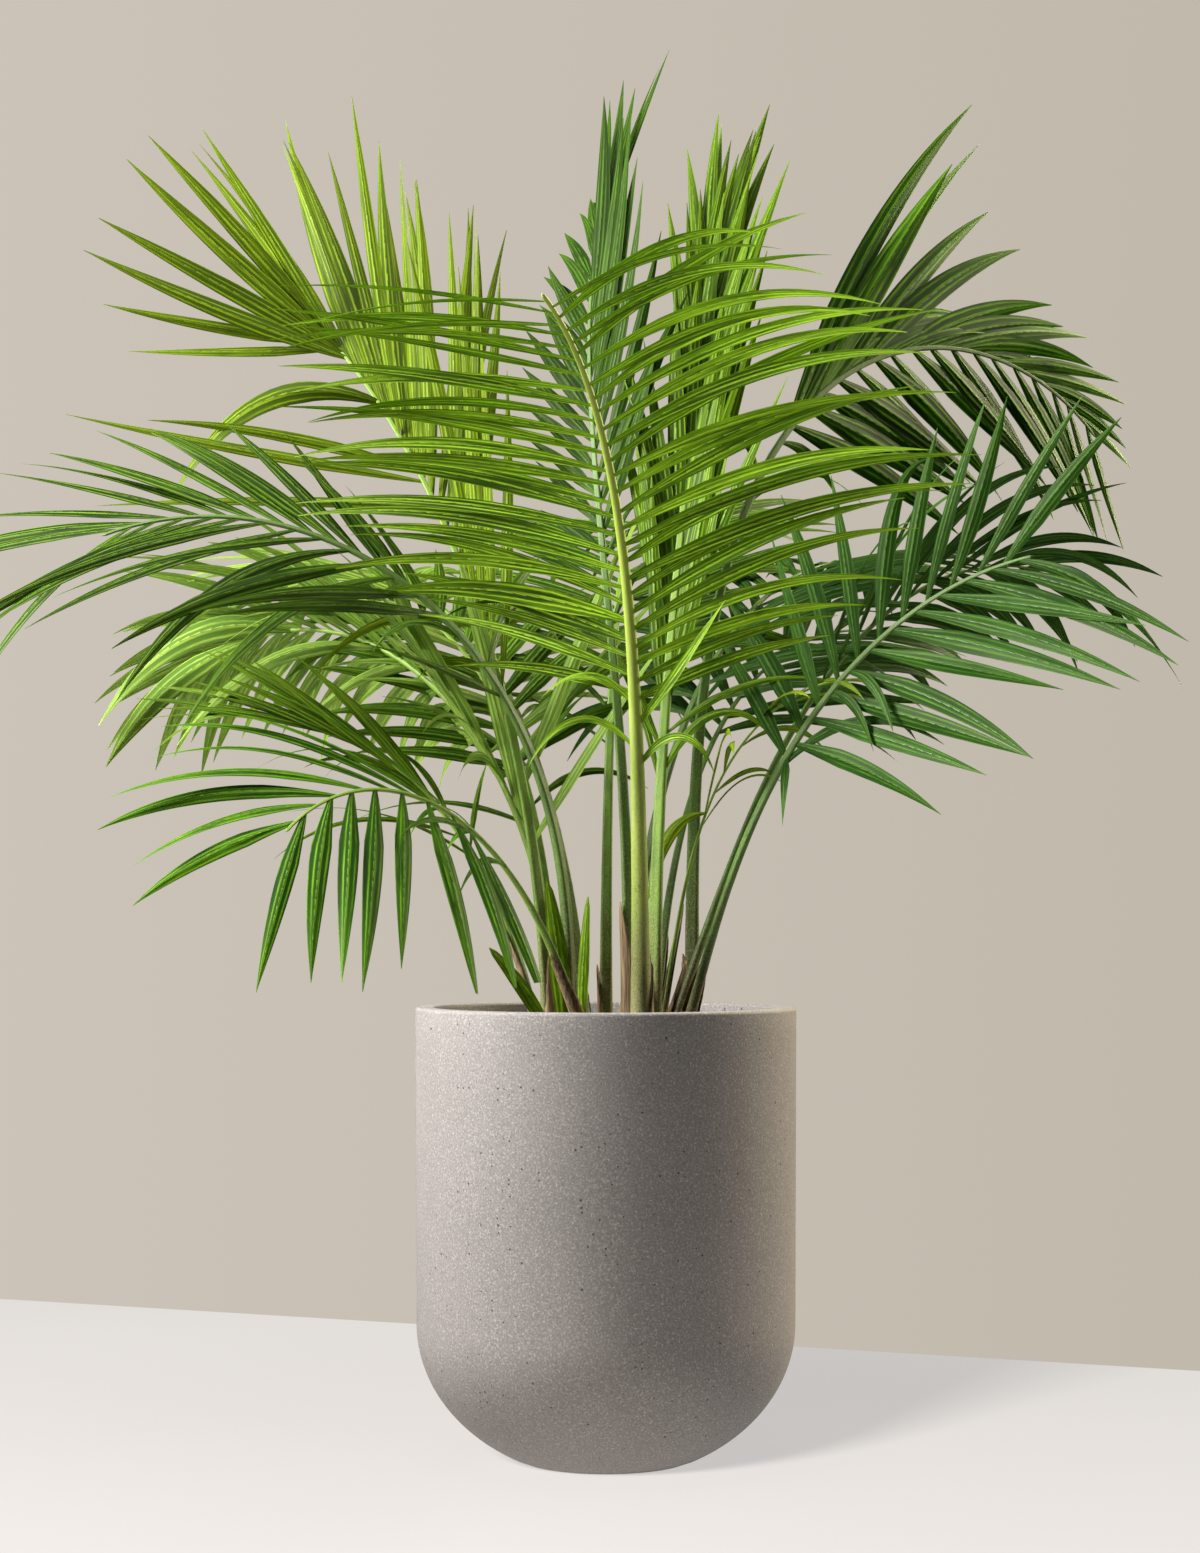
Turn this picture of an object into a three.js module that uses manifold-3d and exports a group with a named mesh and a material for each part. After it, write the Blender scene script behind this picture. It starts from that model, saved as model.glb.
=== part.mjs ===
// Majesty palm in a round-bottomed planter, standing on the flat underside of the pot.
// Lengths are millimetres and angles degrees. +Z is up, the origin is the middle of the
// pot's underside, and the front of the plant faces -Y.
import * as THREE from 'three';
import Module from 'manifold-3d';

const wasm = await Module();
wasm.setup();

// Clearance left between neighbouring solids
const GAP = 0.3;

// Pot: straight tapering wall over a bowl, with a flat underside to stand on
const RIM_RADIUS = 160;
const POT_HEIGHT = 377;
const BOWL_RADIUS = 158.5;
const BOWL_TOP = 114;
const BOWL_DEPTH = 127.6;
const WALL = 17;
const FLOOR_THICKNESS = 18;
const LIP_ROUND = 2.5;
const POT_SIDES = 40;
const BOWL_STEPS = 8;
const SOIL_STEPS = 4;

// Soil fills the pot to a little under the rim
const SOIL_TOP = 332;

// Stems: short clumps of leaf bases that carry the feet of the petioles
const STEM_TOP = 352;
const STEM_MARGIN = 4;
const STEM_FLARE = 9;
const STEM_SIDES = 20;

// Fronds
const SPINE_STEPS = 48;
const PETIOLE_SIDES = 8;
const RIB_SIDES = 6;
const THINNEST_RIB = 1.5;
// The rib narrows to a point over the last of the spine, and the last leaflets leave before it
const RIB_END = 0.99;
const LAST_LEAF = 0.985;

// Leaflets
const LEAF_STEPS = 20;
const THINNEST_LEAF = 2.4;
const LEAF_LENGTHS_PER_THICKNESS = 95;
// Lengths tried, as shares of the full one, with the room kept about each
const CUTS = [1, 0.8, 0.6];
const SPARE = 0.5;
// Room kept between a leaflet's root and the end of its piece of rib
const ROOT_ROOM = 6;

const rad = THREE.MathUtils.degToRad;
const mix = (a, b, t) => a + (b - a) * t;
const DOWN = new THREE.Vector3(0, 0, -1);

// foot: where the petiole stands on its stem. lean: from upright, at the foot and at the
// tip, reached along the spine by the power bend. heading: compass side it leans to, with
// turn added by the tip. bare: share of the spine without leaflets. pairs, leaf, width:
// number, length and width of leaflets, with ends the share of that length at the two ends
// of the blade. splay: angle of leaflets from the rib, at the start and at the tip. skew:
// degrees of splay that one side has more and the other less, at the start and at the tip.
// lop: the same for length, as a share. lift: angle of leaflets out of the blade. sag: how
// far they droop. roll: turn of the blade about its rib. stout: radius of the petiole at its
// foot. split: where a strongly bent blade is divided, as a share of the spine.
const FRONDS = {
  front_tall: {
    stem: 'front', foot: [29, -58], length: 655, lean: [2, 72], bend: 2.7, heading: -104, turn: -10,
    bare: 0.42, pairs: 13, leaf: 290, ends: [0.52, 0.85], width: 20, splay: [66, 72], skew: [0, 12],
    lift: 8, sag: 0.6, roll: 0, stout: 9.4, split: 0.77, colour: '#7f9f33',
  },
  right_front: {
    stem: 'right', foot: [66, 2], length: 538, lean: [16, 83], bend: 1.7, heading: -30, turn: -8,
    bare: 0.46, pairs: 8, leaf: 185, ends: [0.75, 0.9], width: 24, splay: [72, 28], lop: [0.08, 0.08],
    lift: 8, sag: 0.28, roll: 80, stout: 6.2, colour: '#3f6426',
  },
  left_droop: {
    stem: 'left', foot: [-17, -38], length: 412, lean: [23, 134], bend: 1.8, heading: 218, turn: 6,
    bare: 0.5, pairs: 7, leaf: 195, ends: [1.0, 0.62], width: 22, splay: [68, 28], skew: [-36, 4],
    lift: -4, sag: 0.6, roll: -38, stout: 5.4, split: 0.72, colour: '#4f7f22',
  },
  left_high: {
    stem: 'left', foot: [-48, 12], length: 722, lean: [3, 49], bend: 1.1, heading: 135, turn: 0,
    bare: 0.62, pairs: 9, leaf: 350, ends: [0.85, 1.05], width: 24, splay: [44, 3], skew: [-10, 0],
    lop: [-0.12, 0], lift: 2, sag: 0.05, roll: -36, stout: 6.5, colour: '#86963a',
  },
  left_arch: {
    stem: 'left', foot: [-31, -2], length: 775, lean: [-2, 126], bend: 1.47, heading: 168, turn: 18,
    bare: 0.52, pairs: 10, leaf: 215, ends: [0.7, 0.85], width: 21, splay: [50, 30], skew: [-14, -16],
    lop: [-0.12, -0.15], lift: 6, sag: 0.7, roll: -28, stout: 7.5, split: 0.72, colour: '#587f2c',
  },
  right_high: {
    stem: 'right', foot: [74, 52], length: 995, lean: [0, 139], bend: 2.08, heading: 63, turn: -37,
    bare: 0.56, pairs: 10, leaf: 198, ends: [1.85, 0.5], width: 27, splay: [40, 24], skew: [26, 8],
    lop: [-0.12, 0.3], lift: 5, sag: 0.35, roll: 84, stout: 7, split: 0.78, colour: '#3a5c1c',
  },
  spear_fan: {
    stem: 'front', foot: [40, -28], length: 720, lean: [0, 32], bend: 1.2, heading: 57, turn: 22,
    bare: 0.36, pairs: 8, leaf: 265, ends: [0.85, 0.8], width: 22, splay: [12, 4], skew: [3, 3],
    lift: 4, sag: 0.06, roll: 0, stout: 7.5, colour: '#6f9a24',
  },
  centre_back: {
    stem: 'front', foot: [20, -10], length: 820, lean: [0, 46], bend: 1.5, heading: 144, turn: -70,
    bare: 0.5, pairs: 8, leaf: 215, ends: [0.5, 0.92], width: 22, splay: [28, 6], skew: [-8, 2],
    lop: [0.35, 0.35], lift: -8, sag: 0.3, roll: -40, stout: 6.5, colour: '#557a2e',
  },
  left_mid: {
    stem: 'left', foot: [-42, 25], length: 680, lean: [0, 116], bend: 1.15, heading: 144, turn: -8,
    bare: 0.38, pairs: 10, leaf: 225, ends: [0.75, 0.7], width: 24, splay: [56, 10], lift: 0, sag: 0.62,
    roll: 40, stout: 6, split: 0.66, colour: '#74913f',
  },
  left_young: {
    stem: 'left', foot: [-55, -18], length: 385, lean: [13, 84], bend: 1.5, heading: 168, turn: -6,
    bare: 0.52, pairs: 5, leaf: 182, ends: [0.8, 0.8], width: 15, splay: [8, 4], lift: 4, sag: 0.3,
    roll: -40, stout: 4.5, colour: '#8aa53a',
  },
  right_back: {
    stem: 'right', foot: [53, 24], length: 632, lean: [22, 99], bend: 2.4, heading: 28, turn: 4,
    bare: 0.4, pairs: 9, leaf: 205, ends: [0.8, 0.7], width: 23, splay: [58, 16], lift: 0, sag: 0.7,
    roll: -50, stout: 6, split: 0.72, colour: '#4c7028',
  },
  thin_right: {
    stem: 'right', foot: [46, 16], length: 385, lean: [9, 98], bend: 2.8, heading: -22, turn: 2,
    bare: 0.5, pairs: 3, leaf: 120, ends: [0.6, 0.6], width: 13, splay: [60, 20], lift: 0, sag: 1.0,
    roll: 0, stout: 2.8, colour: '#93ab52',
  },
  back_left: {
    stem: 'back', foot: [-18, 70], length: 720, lean: [8, 100], bend: 1.3, heading: 122, turn: 8,
    bare: 0.42, pairs: 10, leaf: 235, ends: [0.7, 0.7], width: 23, splay: [70, 26], lift: 8, sag: 0.6,
    roll: 0, stout: 6.2, split: 0.72, colour: '#6a8a3c',
  },
  back_centre: {
    stem: 'back', foot: [0, 85], length: 740, lean: [6, 96], bend: 1.5, heading: 88, turn: -6,
    bare: 0.44, pairs: 10, leaf: 240, ends: [0.7, 0.7], width: 23, splay: [70, 26], lift: 8, sag: 0.6,
    roll: 0, stout: 6.4, split: 0.74, colour: '#557a2c',
  },
  back_right: {
    stem: 'back', foot: [18, 58], length: 700, lean: [8, 98], bend: 1.4, heading: 58, turn: -8,
    bare: 0.42, pairs: 10, leaf: 230, ends: [0.7, 0.7], width: 23, splay: [70, 26], lift: 8, sag: 0.6,
    roll: 0, stout: 6.2, split: 0.72, colour: '#45682a',
  },
  inner_left: {
    stem: 'back', foot: [-40, 60], length: 520, lean: [10, 80], bend: 1.8, heading: 112, turn: 30,
    bare: 0.45, pairs: 7, leaf: 180, ends: [0.8, 0.7], width: 21, splay: [66, 22], lift: 6, sag: 0.5,
    roll: -25, stout: 5, colour: '#5f8332',
  },
  inner_right: {
    stem: 'back', foot: [42, 80], length: 500, lean: [12, 84], bend: 1.8, heading: 66, turn: -30,
    bare: 0.45, pairs: 7, leaf: 180, ends: [0.8, 0.7], width: 21, splay: [66, 22], lift: 6, sag: 0.5,
    roll: 25, stout: 5, colour: '#4a6e2b',
  },
};

// Young undivided leaves that rise straight from the stems: foot, length, width at the
// widest, lean from upright and the compass side they lean to
const YOUNG_LEAVES = {
  young_leaf_a: { foot: [-35, -27], length: 132, width: 14, lean: [2, 12], heading: 200, colour: '#8fb03c' },
  young_leaf_b: { foot: [-46, -26], length: 92, width: 13, lean: [26, 46], heading: 196, colour: '#9bb84a' },
  young_leaf_c: { foot: [-21, -17], length: 118, width: 9, lean: [2, 10], heading: 60, colour: '#83a53a' },
};

// Deterministic number from -1 to 1 for two whole numbers
function wobble(seed, i) {
  const x = Math.sin(seed * 12.9898 + i * 78.233) * 43758.5453;
  return 2 * (x - Math.floor(x)) - 1;
}

function seedOf(name) {
  return [...name].reduce((sum, letter) => sum + letter.charCodeAt(0), 0);
}

// Closed solid over a row of outlines, each turning right-handed about the way it faces.
// A last outline of one point closes the solid to a tip.
function skin(rings) {
  const points = rings.flat();
  const faces = [];
  const sides = rings[0].length;
  for (let i = 1; i + 1 < sides; i++) {
    faces.push(0, i + 1, i);
  }
  for (let r = 0; r + 1 < rings.length; r++) {
    const a = r * sides;
    const b = a + sides;
    const tip = rings[r + 1].length === 1;
    for (let i = 0; i < sides; i++) {
      const j = (i + 1) % sides;
      if (tip) {
        faces.push(a + i, a + j, b);
      } else {
        faces.push(a + i, a + j, b + j, a + i, b + j, b + i);
      }
    }
  }
  const last = rings.at(-1);
  const start = points.length - last.length;
  for (let i = 1; i + 1 < last.length; i++) {
    faces.push(start, start + i, start + i + 1);
  }
  const vertProperties = new Float32Array(points.flatMap((p) => [p.x, p.y, p.z]));
  const triVerts = new Uint32Array(faces);
  return new wasm.Manifold(new wasm.Mesh({ numProp: 3, vertProperties, triVerts }));
}

// Place on a frond at share s of its spine: the direction d, the upper side n and the
// right-hand side b of the blade
function frame(frond, s) {
  const lean = rad(mix(frond.lean[0], frond.lean[1], s ** frond.bend));
  const heading = rad(frond.heading + frond.turn * s);
  const d = new THREE.Vector3(Math.sin(lean) * Math.cos(heading), Math.sin(lean) * Math.sin(heading),
    Math.cos(lean));
  const up = new THREE.Vector3(-Math.cos(lean) * Math.cos(heading), -Math.cos(lean) * Math.sin(heading),
    Math.sin(lean));
  const side = new THREE.Vector3().crossVectors(d, up);
  const roll = rad(frond.roll);
  const n = up.clone().multiplyScalar(Math.cos(roll)).addScaledVector(side, Math.sin(roll));
  const b = side.clone().multiplyScalar(Math.cos(roll)).addScaledVector(up, -Math.sin(roll));
  return { d, n, b };
}

// Points along the middle of a frond, from its foot to its tip
function spineOf(frond) {
  const at = new THREE.Vector3(frond.foot[0], frond.foot[1], STEM_TOP + GAP);
  const points = [at.clone()];
  for (let i = 0; i < SPINE_STEPS; i++) {
    at.addScaledVector(frame(frond, (i + 0.5) / SPINE_STEPS).d, frond.length / SPINE_STEPS);
    points.push(at.clone());
  }
  return points;
}

function pointAt(spine, s) {
  const k = Math.min(SPINE_STEPS - 1, Math.floor(s * SPINE_STEPS));
  return spine[k].clone().lerp(spine[k + 1], s * SPINE_STEPS - k);
}

function ribRadius(frond, s) {
  return Math.max(THINNEST_RIB, frond.stout * (1 - 0.8 * s ** 0.7));
}

// Outline across a rib, flatter on its upper side
function ribRing(centre, n, b, radius, sides) {
  const ring = [];
  for (let i = 0; i < sides; i++) {
    const angle = (2 * Math.PI * (i + 0.5)) / sides;
    const depth = Math.cos(angle) > 0 ? 0.7 : 1;
    ring.push(centre.clone()
      .addScaledVector(n, Math.cos(angle) * radius * depth)
      .addScaledVector(b, Math.sin(angle) * radius));
  }
  return ring;
}

// Petiole: from a level foot to where the leaflets begin
function petioleOf(frond, spine) {
  const out = new THREE.Vector3(-Math.cos(rad(frond.heading)), -Math.sin(rad(frond.heading)), 0);
  const across = new THREE.Vector3().crossVectors(new THREE.Vector3(0, 0, 1), out);
  const rings = [ribRing(spine[0], out, across, frond.stout, PETIOLE_SIDES)];
  for (const share of [0.08, 0.24, 0.43, 0.62, 0.81, 1]) {
    const s = frond.bare * share;
    const { n, b } = frame({ ...frond, roll: frond.roll * share }, s);
    rings.push(ribRing(pointAt(spine, s), n, b, ribRadius(frond, s), PETIOLE_SIDES));
  }
  return skin(rings);
}

// Rib of the blade from share s0 to s1 of the spine, closed to a point at the frond's tip
function ribOf(frond, spine, s0, s1) {
  const start = s0 + GAP / frond.length;
  const end = s1 === 1 ? RIB_END : s1;
  const count = Math.max(4, Math.round((end - start) * 15));
  const rings = [];
  for (let i = 0; i <= count; i++) {
    const s = mix(start, end, i / count);
    const { n, b } = frame(frond, s);
    rings.push(ribRing(pointAt(spine, s), n, b, ribRadius(frond, s), RIB_SIDES));
  }
  if (s1 === 1) {
    rings.push([spine.at(-1)]);
  }
  return skin(rings);
}

// Middle line of one leaflet, with the upper side it keeps
function leafLine(name, frond, spine, t, side, k) {
  const seed = seedOf(name);
  const s = mix(frond.bare, LAST_LEAF, t);
  const { d, n, b } = frame(frond, s);
  const { skew = [0, 0], lop = [0, 0] } = frond;
  const splay = rad(mix(frond.splay[0], frond.splay[1], t) + side * mix(skew[0], skew[1], t)
    + 5 * wobble(seed, k));
  const lift = rad(frond.lift + 6 * wobble(seed + 1, k));
  const way = d.clone().multiplyScalar(Math.cos(splay))
    .addScaledVector(b, Math.sin(splay) * Math.cos(lift) * side)
    .addScaledVector(n, Math.sin(splay) * Math.sin(lift));
  const share = frond.ends[t < 0.42 ? 0 : 1];
  const length = frond.leaf * (share + (1 - share) * Math.sin(Math.PI * t ** 0.8))
    * (1 + 0.07 * wobble(seed + 2, k)) * (1 + side * mix(lop[0], lop[1], t));
  const sag = frond.sag * (1 + 0.3 * wobble(seed + 3, k));
  const at = pointAt(spine, s);
  const line = [at.clone()];
  const ways = [way.clone()];
  for (let i = 0; i < LEAF_STEPS; i++) {
    const u = (i + 0.5) / LEAF_STEPS;
    const step = way.clone().addScaledVector(DOWN, sag * u ** 1.3).normalize();
    at.addScaledVector(step, length / LEAF_STEPS);
    line.push(at.clone());
    ways.push(step);
  }
  const normal = n.clone().addScaledVector(way, -n.dot(way)).normalize();
  return { s, line, ways, normal, length, root: ribRadius(frond, s) * 0.5 };
}

// Leaflet as a thin blade with a raised midrib and a narrow root inside the rib. cut is the
// share of its length kept and spare is added all round to test the room about it.
function leafSolid(leaf, width, cut, spare) {
  const ridge = Math.max(THINNEST_LEAF, leaf.length / LEAF_LENGTHS_PER_THICKNESS);
  const rings = [];
  for (const [u, half, high] of [[0, leaf.root, leaf.root], [0.25, width / 2, ridge],
    [0.62, width * 0.42, ridge * 0.8]]) {
    const k = Math.round(u * cut * LEAF_STEPS);
    const centre = leaf.line[k];
    const across = new THREE.Vector3().crossVectors(leaf.ways[k], leaf.normal).normalize();
    const above = new THREE.Vector3().crossVectors(across, leaf.ways[k]);
    const low = u === 0 ? -high / 2 : 0;
    rings.push([
      centre.clone().addScaledVector(across, -half - spare).addScaledVector(above, low - spare),
      centre.clone().addScaledVector(above, low + high + spare),
      centre.clone().addScaledVector(across, half + spare).addScaledVector(above, low - spare),
    ]);
  }
  const end = Math.round(cut * LEAF_STEPS);
  rings.push([leaf.line[end].clone().addScaledVector(leaf.ways[end], spare)]);
  return skin(rings);
}

// Stem: outline wrapped round the feet it carries, flared and cut flat at the soil
function stemOf(feet) {
  const ringAt = (z, margin) => {
    const ring = [];
    for (let i = 0; i < STEM_SIDES; i++) {
      const angle = (2 * Math.PI * i) / STEM_SIDES;
      const way = new THREE.Vector3(Math.cos(angle), Math.sin(angle), 0);
      const reach = (f) => f.foot[0] * way.x + f.foot[1] * way.y + f.stout;
      const far = feet.reduce((best, f) => (reach(f) > reach(best) ? f : best));
      ring.push(new THREE.Vector3(far.foot[0], far.foot[1], z).addScaledVector(way, far.stout + margin));
    }
    return ring;
  };
  const base = SOIL_TOP + GAP;
  const middle = mix(base, STEM_TOP, 0.35);
  return skin([ringAt(base, STEM_FLARE), ringAt(middle, mix(STEM_FLARE, STEM_MARGIN, 0.6)),
    ringAt(STEM_TOP, STEM_MARGIN)]);
}

// Young undivided leaf: a narrow strap with a raised middle on both sides
function youngLeaf({ foot, length, width, lean, heading }) {
  const at = new THREE.Vector3(foot[0], foot[1], STEM_TOP + GAP);
  const facing = rad(heading);
  const across = new THREE.Vector3(-Math.sin(facing), Math.cos(facing), 0);
  const steps = 6;
  const rings = [];
  for (let i = 0; i < steps; i++) {
    const u = i / steps;
    const tilt = rad(mix(lean[0], lean[1], u));
    const way = new THREE.Vector3(Math.sin(tilt) * Math.cos(facing), Math.sin(tilt) * Math.sin(facing),
      Math.cos(tilt));
    const level = i === 0 ? new THREE.Vector3(Math.cos(facing), Math.sin(facing), 0)
      : new THREE.Vector3().crossVectors(across, way);
    const half = (width / 2) * (0.42 + 0.58 * Math.sin(Math.PI * Math.min(1, u * 0.95 + 0.05)));
    const thick = mix(1.8, 0.9, u);
    rings.push([
      at.clone().addScaledVector(level, thick),
      at.clone().addScaledVector(across, half),
      at.clone().addScaledVector(level, -thick),
      at.clone().addScaledVector(across, -half),
    ]);
    at.addScaledVector(way, length / steps);
  }
  rings.push([at]);
  return skin(rings);
}

// Quarter ellipse of the bowl, from its flat floor up to the wall
function bowl(radius, depth, floor, steps) {
  const start = Math.asin((BOWL_TOP - floor) / depth);
  const points = [];
  for (let i = 0; i <= steps; i++) {
    const angle = start * (1 - i / steps);
    points.push(new THREE.Vector2(radius * Math.cos(angle), BOWL_TOP - depth * Math.sin(angle)));
  }
  return points;
}

function potGeometry() {
  const inner = RIM_RADIUS - WALL;
  const inside = bowl(BOWL_RADIUS - WALL, BOWL_DEPTH - FLOOR_THICKNESS, FLOOR_THICKNESS, BOWL_STEPS - 1);
  const profile = [
    new THREE.Vector2(0, 0),
    ...bowl(BOWL_RADIUS, BOWL_DEPTH, 0, BOWL_STEPS),
    new THREE.Vector2(RIM_RADIUS, POT_HEIGHT - LIP_ROUND),
    new THREE.Vector2(RIM_RADIUS - LIP_ROUND * 0.3, POT_HEIGHT - LIP_ROUND * 0.3),
    new THREE.Vector2(RIM_RADIUS - LIP_ROUND, POT_HEIGHT),
    new THREE.Vector2(inner + LIP_ROUND, POT_HEIGHT),
    new THREE.Vector2(inner + LIP_ROUND * 0.3, POT_HEIGHT - LIP_ROUND * 0.3),
    new THREE.Vector2(inner, POT_HEIGHT - LIP_ROUND),
    ...inside.reverse(),
    new THREE.Vector2(0, FLOOR_THICKNESS),
  ];
  return new THREE.LatheGeometry(profile, POT_SIDES).rotateX(Math.PI / 2);
}

function soilGeometry() {
  const side = mix(BOWL_RADIUS, RIM_RADIUS, (SOIL_TOP - BOWL_TOP) / (POT_HEIGHT - BOWL_TOP)) - WALL;
  const fill = bowl(BOWL_RADIUS - WALL - 2 * GAP, BOWL_DEPTH - FLOOR_THICKNESS - 2 * GAP,
    FLOOR_THICKNESS + GAP, SOIL_STEPS);
  const profile = [
    new THREE.Vector2(0, FLOOR_THICKNESS + GAP),
    ...fill,
    new THREE.Vector2(side - 2 * GAP, SOIL_TOP - 3),
    new THREE.Vector2(side - 3, SOIL_TOP),
    new THREE.Vector2(0, SOIL_TOP),
  ];
  return new THREE.LatheGeometry(profile, POT_SIDES).rotateX(Math.PI / 2);
}

const part = new THREE.Group();
part.name = 'potted_majesty_palm';

function addNode(name, geometry, colour, roughness) {
  const material = new THREE.MeshStandardMaterial({ color: colour, roughness, metalness: 0 });
  const mesh = new THREE.Mesh(geometry, material);
  mesh.name = name;
  part.add(mesh);
}

function addSolid(name, solid, colour, roughness) {
  const { vertProperties, triVerts } = solid.getMesh();
  const geometry = new THREE.BufferGeometry();
  geometry.setAttribute('position', new THREE.BufferAttribute(new Float32Array(vertProperties), 3));
  geometry.setIndex(new THREE.BufferAttribute(new Uint32Array(triVerts), 1));
  geometry.computeVertexNormals();
  addNode(name, geometry, colour, roughness);
}

addNode('pot', potGeometry(), '#8f8a85', 0.75);
addNode('soil', soilGeometry(), '#3b2f26', 1);

// Room already taken, by solid, with the node that owns it
const taken = [];

function take(owner, solid) {
  const { min, max } = solid.boundingBox();
  taken.push({ owner, solid, min, max });
}

function isFree(owner, solid) {
  const { min, max } = solid.boundingBox();
  return taken.every((other) => {
    if (other.owner === owner) {
      return true;
    }
    const apart = [0, 1, 2].some((i) => other.max[i] < min[i] || other.min[i] > max[i]);
    return apart || solid.intersect(other.solid).isEmpty();
  });
}

const stems = {};
for (const frond of Object.values(FRONDS)) {
  (stems[frond.stem] ??= []).push(frond);
}
for (const [name, feet] of Object.entries(stems)) {
  const solid = stemOf(feet);
  take(`stem_${name}`, solid);
  addSolid(`stem_${name}`, solid, '#6b5b3f', 0.95);
}

for (const [name, leaf] of Object.entries(YOUNG_LEAVES)) {
  const solid = youngLeaf(leaf);
  take(name, solid);
  addSolid(name, solid, leaf.colour, 0.5);
}

// Petioles and ribs first, so that every leaflet can be kept clear of them
const blades = [];
for (const [name, frond] of Object.entries(FRONDS)) {
  const spine = spineOf(frond);
  const petiole = petioleOf(frond, spine);
  take(`petiole_${name}`, petiole);
  addSolid(`petiole_${name}`, petiole, '#6f7f3a', 0.6);
  const spans = frond.split ? [[frond.bare, frond.split], [frond.split, 1]] : [[frond.bare, 1]];
  spans.forEach(([s0, s1], i) => {
    const owner = `frond_${name}${spans.length > 1 ? ['_low', '_high'][i] : ''}`;
    const rib = ribOf(frond, spine, s0, s1);
    take(owner, rib);
    blades.push({ name, owner, frond, spine, s0, s1, solid: rib });
  });
}

// Leaflets: shortened, or left out, where they would touch another frond
for (const blade of blades) {
  const { name, owner, frond, spine, s0, s1 } = blade;
  for (let i = 0; i < frond.pairs; i++) {
    for (const side of [-1, 1]) {
      const k = 2 * i + (side > 0 ? 1 : 0);
      const t = (i + 0.5 + 0.25 * side) / frond.pairs;
      const leaf = leafLine(name, frond, spine, t, side, k);
      const room = ROOT_ROOM / frond.length;
      if (leaf.s < s0 + room || leaf.s >= s1 - (s1 < 1 ? room : 0)) {
        continue;
      }
      for (const cut of CUTS) {
        if (isFree(owner, leafSolid(leaf, frond.width, cut, SPARE))) {
          const solid = leafSolid(leaf, frond.width, cut, 0);
          take(owner, solid);
          blade.solid = blade.solid.add(solid);
          break;
        }
      }
    }
  }
  addSolid(owner, blade.solid.simplify(0.05), frond.colour, 0.5);
}

export default part;
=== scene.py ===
"""Majesty palm in a round-bottomed cement planter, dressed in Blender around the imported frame.

The source of the solids holds one rule for the fronds: a spine that leans over as it climbs,
and leaflets that leave the rib in pairs. The same rule is written again here and carried
to finer leaflets. Lengths in the tables are millimetres and angles degrees, as they are
there, and MM turns them into Blender's metres.
"""
from math import asin, atan2, cos, hypot, pi, radians, sin

import bmesh
import bpy
import numpy as np
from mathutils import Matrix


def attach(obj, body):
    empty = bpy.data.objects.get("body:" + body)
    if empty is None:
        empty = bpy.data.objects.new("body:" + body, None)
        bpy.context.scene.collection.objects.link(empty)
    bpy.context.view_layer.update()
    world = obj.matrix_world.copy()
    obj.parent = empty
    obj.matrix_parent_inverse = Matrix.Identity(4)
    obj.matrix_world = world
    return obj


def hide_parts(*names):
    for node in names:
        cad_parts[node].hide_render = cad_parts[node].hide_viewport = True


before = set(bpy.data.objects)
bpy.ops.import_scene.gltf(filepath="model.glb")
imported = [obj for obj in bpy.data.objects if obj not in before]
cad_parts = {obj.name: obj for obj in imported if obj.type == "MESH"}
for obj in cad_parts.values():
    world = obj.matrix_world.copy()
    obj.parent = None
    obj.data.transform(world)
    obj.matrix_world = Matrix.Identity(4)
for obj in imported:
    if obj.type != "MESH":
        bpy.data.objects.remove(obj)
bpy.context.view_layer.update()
MM = 0.001

# Pot, as in the solids
RIM_RADIUS = 160.0
POT_HEIGHT = 377.0
BOWL_RADIUS = 158.5
BOWL_TOP = 114.0
BOWL_DEPTH = 127.6
WALL = 17.0
FLOOR_THICKNESS = 18.0
LIP_ROUND = 3.0
SOIL_TOP = 332.0
STEM_TOP = 352.0
GAP = 0.3

# Fronds, as in the solids. Each row gives COLUMNS in turn, and then what isn't as in USUAL.
# foot: where the stalk stands. lean: from upright, at the foot and the tip, reached by the
# power bend. heading: compass side it leans to, with turn added by the tip. bare: share of
# the spine with no leaflets. pairs, leaf, width: number, length and width of leaflets.
# stout: stalk radius. ends: share of leaf at the blade's start and tip. splay: angle of
# leaflets from the rib at start and tip. lift: out of the blade's plane. sag: how far they
# droop. roll: turn of the blade about its rib. skew: degrees added to the splay on the right
# side and taken off on the left, at start and tip. lop: the same for length, as a share.
# limp: droop of the left and right side, times sag. stray: leaflets whose random number is
# above it have lost their stiffness and hang. begins: share of the blade that is bare on the
# left and right. fringe: number of weak leaflets below the blade. taper: width at start and
# tip, times width. broad: which leaflets are wider, and by how many times. uneven: how
# irregularly the leaflets stand, with 1 as usual. dim: painted shade on the left and right
# side, each at start and tip. rind, tone: which greens the stalk and the leaflets are dealt.
COLUMNS = ("foot", "length", "lean", "bend", "heading", "turn", "bare", "pairs", "leaf", "stout",
           "tone")
USUAL = dict(
    ends=(0.7, 0.7), width=16, splay=(70, 26), lift=8, sag=0.6, roll=0, skew=(0, 0),
    lop=(0, 0), limp=(1, 1), stray=0.76, begins=(0, 0), fringe=4, taper=(1, 1), broad={},
    uneven=1, dim=((0, 0), (0, 0)), rind="leafy")
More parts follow.
